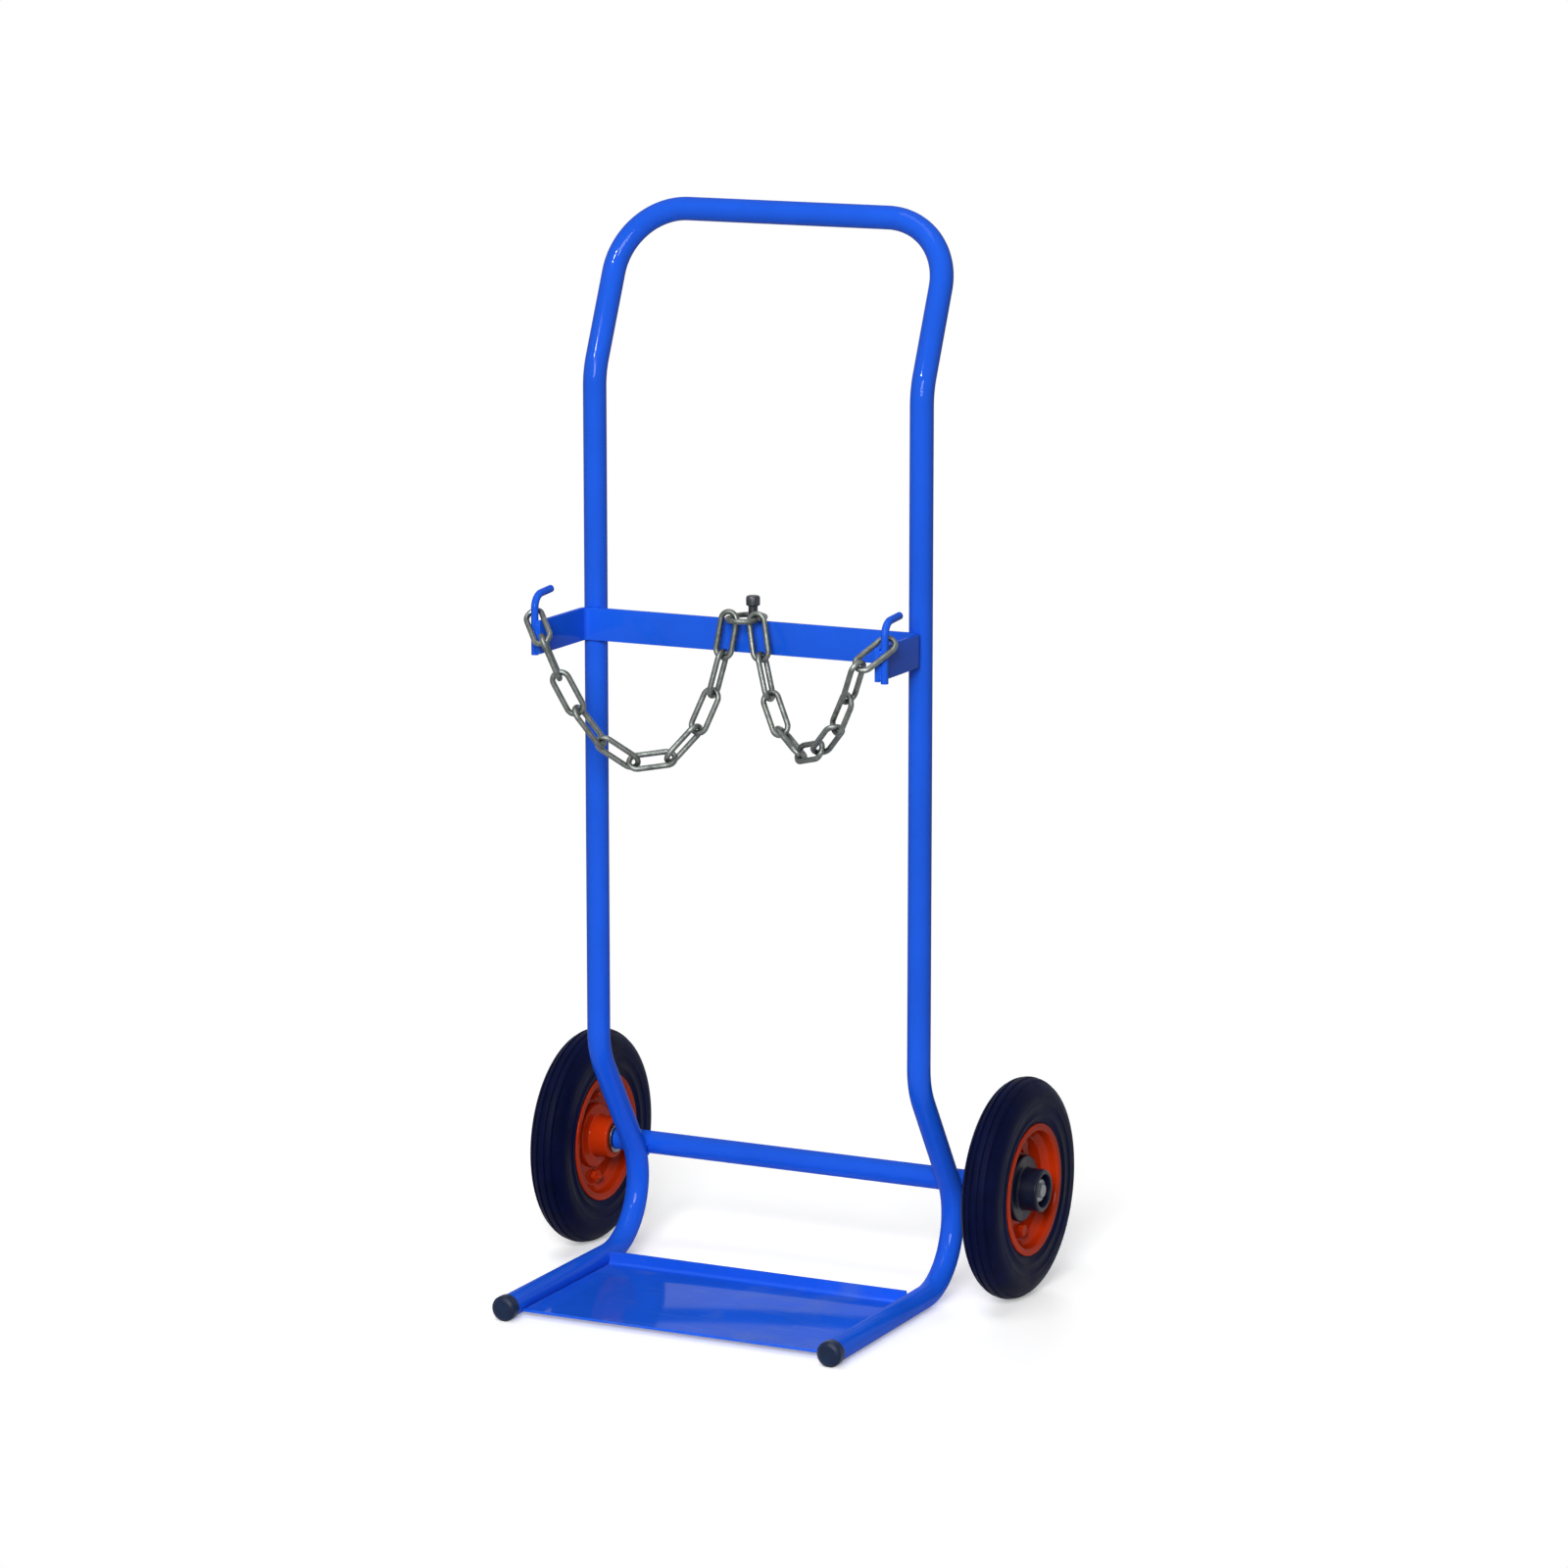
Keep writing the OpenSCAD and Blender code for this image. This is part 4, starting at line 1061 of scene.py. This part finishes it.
class TROLLEY_OT_rims(TrolleyBuild, bpy.types.Operator):
    """Press the rim halves and set their bolts and nuts"""
    bl_idname = "trolley.rims"
    bl_label = "Rims, bolts and nuts"

    def build(self, scene):
        w = scene.trolley_wheel
        outline = self.outline(w)
        forms = {
            "bolts": linked("rim_bolt_form", self.bolt(w)),
            "nuts": linked("rim_nut_form", self.nut(w)),
        }
        for name, side in SIDES:
            body = f"{name}_wheel"
            for half, place in (("outer", on_axle(side)), ("inner", on_axle(side) @ MIRROR_X)):
                mesh = turned(f"{name}_pressed_{half}_rim", outline, steps=128, place=place, sharp=50.0)
                dress(mesh, "red_paint", body, f"{name}_{half}_rim")
            for kind, form in forms.items():
                host = place_host(f"{name}_{kind}_places", self.ring(w, side))
                mesh = grown(f"{name}_hex_{kind}", copies_tree, host, "red_paint", Piece=form)
                dress(smooth(mesh, 25.0), "red_paint", body, f"{name}_rim_{kind}")
        for form in forms.values():
            bpy.data.objects.remove(form)

    def outline(self, w):
        """Section of a rim half: along its back from the hub to the flange, and along its front again."""
        t, bed, disc = w.rim_t, w.rim_bed_r, w.rim_disc_r
        back, lip, edge = bed + t, w.rim_flange_d / 2, w.rim_w / 2
        slope = bed - disc + t
        corner = t * math.tan(math.pi / 8)
        hole = w.hub_spigot_d / 2 + w.press_gap
        root, burr, burr_ease, burr_edge = 0.0006, 0.0005, 0.0004, 0.0003
        lip_back, lip_front, roll_in = 0.0008, 0.0011, 0.0012
        return rounded([
            (hole, 0.0, 0.0), (disc + corner, 0.0, w.rim_press), (back, slope - corner, w.rim_press),
            (back, edge - t, root), (lip - burr, edge - t, lip_back), (lip, edge - t - burr_ease, burr_edge),
            (lip, edge, lip_front), (bed + roll_in, edge, w.rim_roll), (bed, edge - w.rim_roll, w.rim_roll),
            (bed, slope, w.rim_fold), (disc, t, w.rim_fold), (hole, t, 0.0)], steps=8)

    def bolt(self, w):
        """Hex head outside the rim sheets, and the shank with its threaded tail."""
        head = hex_piece("head", w.bolt_flats, w.bolt_head, w.bolt_chamfer)
        tail, r = w.rim_t + w.bolt_head + w.bolt_tail, w.bolt_d / 2
        thread = [(p, -x) for p, x in threaded(r, w.rim_t, tail, w.bolt_pitch, w.bolt_thread)]
        shank = [(0.0, w.rim_t), (r, w.rim_t), (r, -w.rim_t), *thread, (0.0, -tail)]
        head = moved(head, Matrix.Translation((w.rim_t, 0.0, 0.0)))
        return joined("rim_bolt", head, turned("shank", shank, steps=32))

    def nut(self, w):
        """Hex nut against the inner rim sheet."""
        mesh = hex_piece("rim_nut", w.bolt_flats, w.bolt_head, w.bolt_chamfer, w.bolt_d)
        return moved(mesh, Matrix.Translation((-w.rim_t - w.bolt_head, 0.0, 0.0)))

    def ring(self, w, side):
        """Places of the bolts of a wheel, each head turned by itself."""
        face = Matrix.Identity(4) if side > 0 else Matrix.Rotation(math.pi, 4, "Z")
        wheel = Matrix.Translation((side * WHEEL_X, AXLE.y, AXLE.z)) @ face
        out = Matrix.Translation((0.0, w.bolt_ring, 0.0))
        return [wheel @ Matrix.Rotation(math.tau * k / w.bolts, 4, "X") @ out
                @ Matrix.Rotation(FIRST_TURN + NEXT_TURN * k, 4, "X") for k in range(w.bolts)]


class TROLLEY_OT_hubs(TrolleyBuild, bpy.types.Operator):
    """Turn the hub halves and coat the bushes"""
    bl_idname = "trolley.hubs"
    bl_label = "Hubs"

    def build(self, scene):
        w = scene.trolley_wheel
        for name, side in SIDES:
            place, body = on_axle(side), f"{name}_wheel"
            cover = turned(f"{name}_hub_cover", self.outline(w, w.outer_recess), place=place)
            dress(cover, "hub_plastic", body, f"{name}_outer_hub")
            boss = turned(f"{name}_hub_boss", self.outline(w, w.inner_recess), place=place @ MIRROR_X)
            dress(boss, "red_paint", body, f"{name}_inner_hub")
            coat(f"{name}_bushes", "bush_bronze")

    def outline(self, w, recess):
        """Section of a hub half, with a recess of that depth in its end."""
        bush, spigot, flange = w.bush_d / 2, w.hub_spigot_d / 2, w.hub_flange_d / 2
        nose, inner, face = w.hub_nose_d / 2, w.hub_recess_d / 2, w.rim_t + w.hub_flange_t
        end, floor = w.hub_reach, w.hub_reach - recess
        seat_edge, soft, root, mouth, floor_edge = 0.0008, 0.0022, 0.0024, 0.0010, 0.0003
        return rounded([
            (bush, 0.0, 0.0), (spigot, 0.0, 0.0), (spigot, w.rim_t, 0.0), (flange, w.rim_t, seat_edge),
            (flange, face, soft), (nose, face, root), (nose, end, soft), (inner, end, mouth),
            (inner, floor, floor_edge), (bush, floor, 0.0)])


class TROLLEY_OT_axle(TrolleyBuild, bpy.types.Operator):
    """Turn the axle tube, the axle with its threaded ends, the washers and the nuts"""
    bl_idname = "trolley.axle"
    bl_label = "Axle"

    def build(self, scene):
        w = scene.trolley_wheel
        on_middle = Matrix.Translation((0.0, AXLE.y, AXLE.z))
        bore, edge, thin_edge, fine_edge = w.axle_d / 2 + w.axle_gap, 0.0006, 0.0004, 0.0003
        r, end = extent("axle_tube").z / 2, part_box("axle_tube")[1].x
        shape = rounded([(bore, -end, fine_edge), (r, -end, edge), (r, end, edge), (bore, end, fine_edge)])
        sleeve = turned("axle_sleeve", shape, steps=64, place=on_middle)
        dress(sleeve, "blue_paint", ROOT_BODY, "axle_tube")

        tip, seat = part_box("axle_rod")[1].x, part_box("outer_washers")[1].x
        shoulder = seat - w.washer_t
        half = [(w.axle_d / 2, 0.0), (w.axle_d / 2, shoulder)]
        half += threaded(w.thread_d / 2, shoulder, tip, w.thread_pitch, w.thread_depth)
        outline = [(0.0, -tip), *((p, -x) for p, x in reversed(half)), *half[1:], (0.0, tip)]
        dress(turned("axle_bar", outline, steps=48, place=on_middle), "zinc_steel", ROOT_BODY, "axle_rod")

        for node, hole in (("inner_washers", bore), ("outer_washers", w.thread_d / 2)):
            r, far = extent(node).z / 2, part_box(node)[1].x
            near = far - w.washer_t
            corners = [(hole, near, 0.0), (r, near, thin_edge), (r, far, thin_edge), (hole, far, fine_edge)]
            shape = rounded(corners, steps=3)
            rings = [turned("ring", [(p, side * x) for p, x in shape], steps=64, place=on_middle)
                     for side in BOTH_WAYS]
            dress(joined(f"{node}_pair", *rings), "zinc_steel", ROOT_BODY, node)

        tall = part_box("axle_nuts")[1].x - seat
        own = Matrix.Translation((seat, 0.0, 0.0)) @ Matrix.Rotation(math.pi / 6, 4, "X")
        nuts = [moved(hex_piece("nut", w.nut_flats, tall, w.nut_chamfer, w.thread_d), place @ own)
                for place in (on_middle @ MIRROR_X, on_middle)]
        dress(joined("axle_hex_nuts", *nuts), "zinc_steel", ROOT_BODY, "axle_nuts")


class TROLLEY_OT_welds(TrolleyBuild, bpy.types.Operator):
    """Lay the weld beads where the frame's pieces are joined"""
    bl_idname = "trolley.welds"
    bl_label = "Welds"

    def build(self, scene):
        f, b, w = scene.trolley_frame, scene.trolley_bracket, scene.trolley_weld
        bar_margin, beside_rod = 0.003, 0.8 * b.hook_d / 2
        upright_end, hook_from, hook_to, pin_from, pin_to = 0.002, 0.003, 0.004, 0.002, 0.003
        chains, behind_bar = [], BAR_HIGH.y + w.upright_lift
        for name, side in SIDES:
            x, beside_arm = side * (TUBE_HIGH.x - f.tube_d / 2), side * (BAR_HIGH.x + w.arm_lift)
            for off in BOTH_WAYS:
                at = x + off * w.upright_off
                if abs(at) < BAR_HIGH.x - bar_margin:
                    chains.append(self.rising(at, behind_bar, BAR_LOW.z + upright_end, upright_end))
                y = hook_y(name, b) + off * beside_rod
                chains.append(self.rising(beside_arm, y, BAR_LOW.z + hook_from, hook_to))
            chains += self.saddle(f, w, x) + self.stitches(w, side)
        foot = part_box("centre_pin")[0].z + pin_from
        for off in BOTH_WAYS:
            chains.append(self.rising(off * w.pin_off, BAR_HIGH.y + w.pin_lift, foot, pin_to))
        host = path_host("weld_lines", *[[(p, 0.0) for p in chain] for chain in chains])
        mesh = grown("weld_beads", weld_tree, host, "blue_paint", Bead=w.bead, Pitch=w.pitch, Seed=w.seed)
        dress(mesh, "blue_paint", ROOT_BODY)

    def rising(self, x, y, low, below_top):
        """An upright bead that ends below the top of the flat bar."""
        return [(x, y, low), (x, y, BAR_HIGH.z - below_top)]

    def saddle(self, f, w, x):
        """Beads on both sides of the place where the axle tube crosses the toe bend."""
        r, clear, steps, follow = f.tube_d / 2, 0.0002, 4, 0.5
        centre = Vector((x, *toe_bend(f)))
        out = Vector((0.0, AXLE.y - centre.y, AXLE.z - centre.z)).normalized()
        touch = centre + out * (f.toe_bend_r + r)
        across = Vector((1.0, 0.0, 0.0)).cross(out)
        lines = []
        for off in BOTH_WAYS:
            line = []
            for k in range(-steps, steps + 1):
                dx = w.saddle_step * k
                dip = math.sqrt(max(r * r - dx * dx, 0.0)) - r
                beside = touch + Vector((dx, 0.0, 0.0)) + across * off * w.saddle_off
                line.append(beside + out * (dip * follow + clear))
            lines.append(line)
        return lines

    def stitches(self, w, side):
        """Short beads under the plate, along each toe tube."""
        inset, drop = 0.0006, 0.0004
        x, z = side * (PLATE_HIGH.x - inset), PLATE_LOW.z - drop
        lines = []
        for along in (0.12, 0.5, 0.88):
            y = PLATE_LOW.y + along * (PLATE_HIGH.y - PLATE_LOW.y)
            lines.append([(x, y - w.stitch / 2, z), (x, y + w.stitch / 2, z)])
        return lines


class TROLLEY_OT_stage(TrolleyBuild, bpy.types.Operator):
    """Set the camera, the white floor and the soft lights"""
    bl_idname = "trolley.stage"
    bl_label = "Stage"

    def build(self, scene):
        s = scene.trolley_stage
        scene.view_settings.view_transform = "Standard"
        self.camera(scene, s)
        self.floor(s)
        self.sky(scene, s)
        for name, watts, turn, rise, distance, size, switched_off in (
                ("key_light", s.key_power, -7.0, 22.0, 5.2, 1.8, None),
                ("top_light", s.top_power, -40.0, 75.0, 5.0, 2.0, None),
                ("spark_light", s.spark_power, -34.0, 40.0, 5.0, 0.36, "visible_diffuse"),
                ("back_light", s.back_power, 180.0, 14.0, 5.2, 2.2, "visible_glossy")):
            lamp = self.lamp(name, watts, size)
            away = self.direction(s.azimuth + math.radians(turn), math.radians(rise))
            self.face(lamp, Vector((0.0, 0.0, s.lamp_aim)), away, distance)
            if switched_off:
                setattr(lamp, switched_off, False)

    def direction(self, azimuth, elevation):
        """Unit vector from the trolley, turned by the azimuth from straight ahead."""
        return Vector((math.sin(azimuth) * math.cos(elevation), -math.cos(azimuth) * math.cos(elevation),
                       math.sin(elevation)))

    def face(self, thing, aim, away, distance):
        """Puts a camera or lamp away from a point and turns it to that point."""
        thing.location = aim + away * distance
        thing.rotation_euler = (-away).to_track_quat("-Z", "Y").to_euler()

    def camera(self, scene, s):
        data = bpy.data.cameras.new("camera")
        data.sensor_width = 36.0
        data.lens = s.lens
        scene.camera = linked("camera", data)
        aim = Vector((s.aim_x, upright_y(), s.aim_z))
        self.face(scene.camera, aim, self.direction(s.azimuth, s.elevation), s.distance)

    def lamp(self, name, watts, size):
        """A square lamp."""
        data = bpy.data.lights.new(name, "AREA")
        data.energy = watts
        data.size = size
        return linked(name, data)

    def seen(self, n):
        """One where the camera, a mirror or glass sees the surface, and zero where it only lights."""
        path = n.node("ShaderNodeLightPath").outputs
        mirrored = n.math("MAXIMUM", path["Is Camera Ray"], path["Is Glossy Ray"])
        return n.math("MAXIMUM", mirrored, path["Is Transmission Ray"])

    def floor(self, s):
        """A white floor that keeps the shadow near the trolley and fades to plain white."""
        mesh = bpy.data.meshes.new("floor")
        half = s.floor_half
        corners = [(-half, -half, 0.0), (half, -half, 0.0), (half, half, 0.0), (-half, half, 0.0)]
        mesh.from_pydata(corners, [], [(0, 1, 2, 3)])
        material = bpy.data.materials.new("white_floor")
        material.use_nodes = True
        n = Nodes(material.node_tree)
        seen = self.seen(n)
        matt = n.tree.nodes["Principled BSDF"]
        for name, value in {
                "Base Color": (0.95, 0.95, 0.95, 1.0), "Roughness": 1.0, "Specular IOR Level": 0.0,
                "Emission Color": (1.0, 1.0, 1.0, 1.0),
                "Emission Strength": n.spread(seen, 0.0, 1.0, 0.0, s.floor_lift)}.items():
            n.feed(matt.inputs[name], value)
        white = n.out("ShaderNodeEmission", {"Strength": n.spread(seen, 0.0, 1.0, s.sky, 1.0)})
        place = n.node("ShaderNodeTexCoord").outputs["Object"]
        reach = n.node("ShaderNodeVectorMath", {0: place}, operation="LENGTH").outputs["Value"]
        fade = n.spread(reach, s.fade_start, s.fade_end, curve="SMOOTHSTEP")
        mixed = n.out("ShaderNodeMixShader", {"Fac": fade, 1: matt.outputs[0], 2: white})
        n.feed(n.tree.nodes["Material Output"].inputs["Surface"], mixed)
        mesh.materials.append(material)
        linked("floor", mesh)

    def sky(self, scene, s):
        """White where it is seen or mirrored, softer where it lights."""
        scene.world = bpy.data.worlds.new("white_room")
        scene.world.use_nodes = True
        n = Nodes(scene.world.node_tree)
        sky = n.tree.nodes["Background"].inputs
        n.feed(sky["Color"], (1.0, 1.0, 1.0, 1.0))
        n.feed(sky["Strength"], n.spread(self.seen(n), 0.0, 1.0, s.sky, 1.0))


BUILDERS = (
    TROLLEY_OT_frame_tube,
    TROLLEY_OT_toe_caps,
    TROLLEY_OT_toe_plate,
    TROLLEY_OT_bracket,
    TROLLEY_OT_chain,
    TROLLEY_OT_tyres,
    TROLLEY_OT_rims,
    TROLLEY_OT_hubs,
    TROLLEY_OT_axle,
    TROLLEY_OT_welds,
    TROLLEY_OT_stage,
)


class TROLLEY_PT_panel(bpy.types.Panel):
    """Sizes, colours and builders of the trolley"""
    bl_idname = "TROLLEY_PT_panel"
    bl_label = "Gas cylinder trolley"
    bl_space_type = "VIEW_3D"
    bl_region_type = "UI"
    bl_category = "Trolley"

    def draw(self, context):
        for group in GROUPS:
            box = self.layout.box()
            settings = getattr(context.scene, group)
            for name in settings.__annotations__:
                box.prop(settings, name)
        for builder in BUILDERS:
            self.layout.operator(builder.bl_idname)


CLASSES = (*GROUPS.values(), *BUILDERS, TROLLEY_PT_panel)


def register():
    for cls in CLASSES:
        bpy.utils.register_class(cls)
    for name, cls in GROUPS.items():
        setattr(bpy.types.Scene, name, PointerProperty(type=cls))


def unregister():
    for name in GROUPS:
        delattr(bpy.types.Scene, name)
    for cls in reversed(CLASSES):
        bpy.utils.unregister_class(cls)


def main():
    register()
    for builder in BUILDERS:
        family, action = builder.bl_idname.split(".")
        getattr(getattr(bpy.ops, family), action)()


if __name__ == "__main__":
    main()
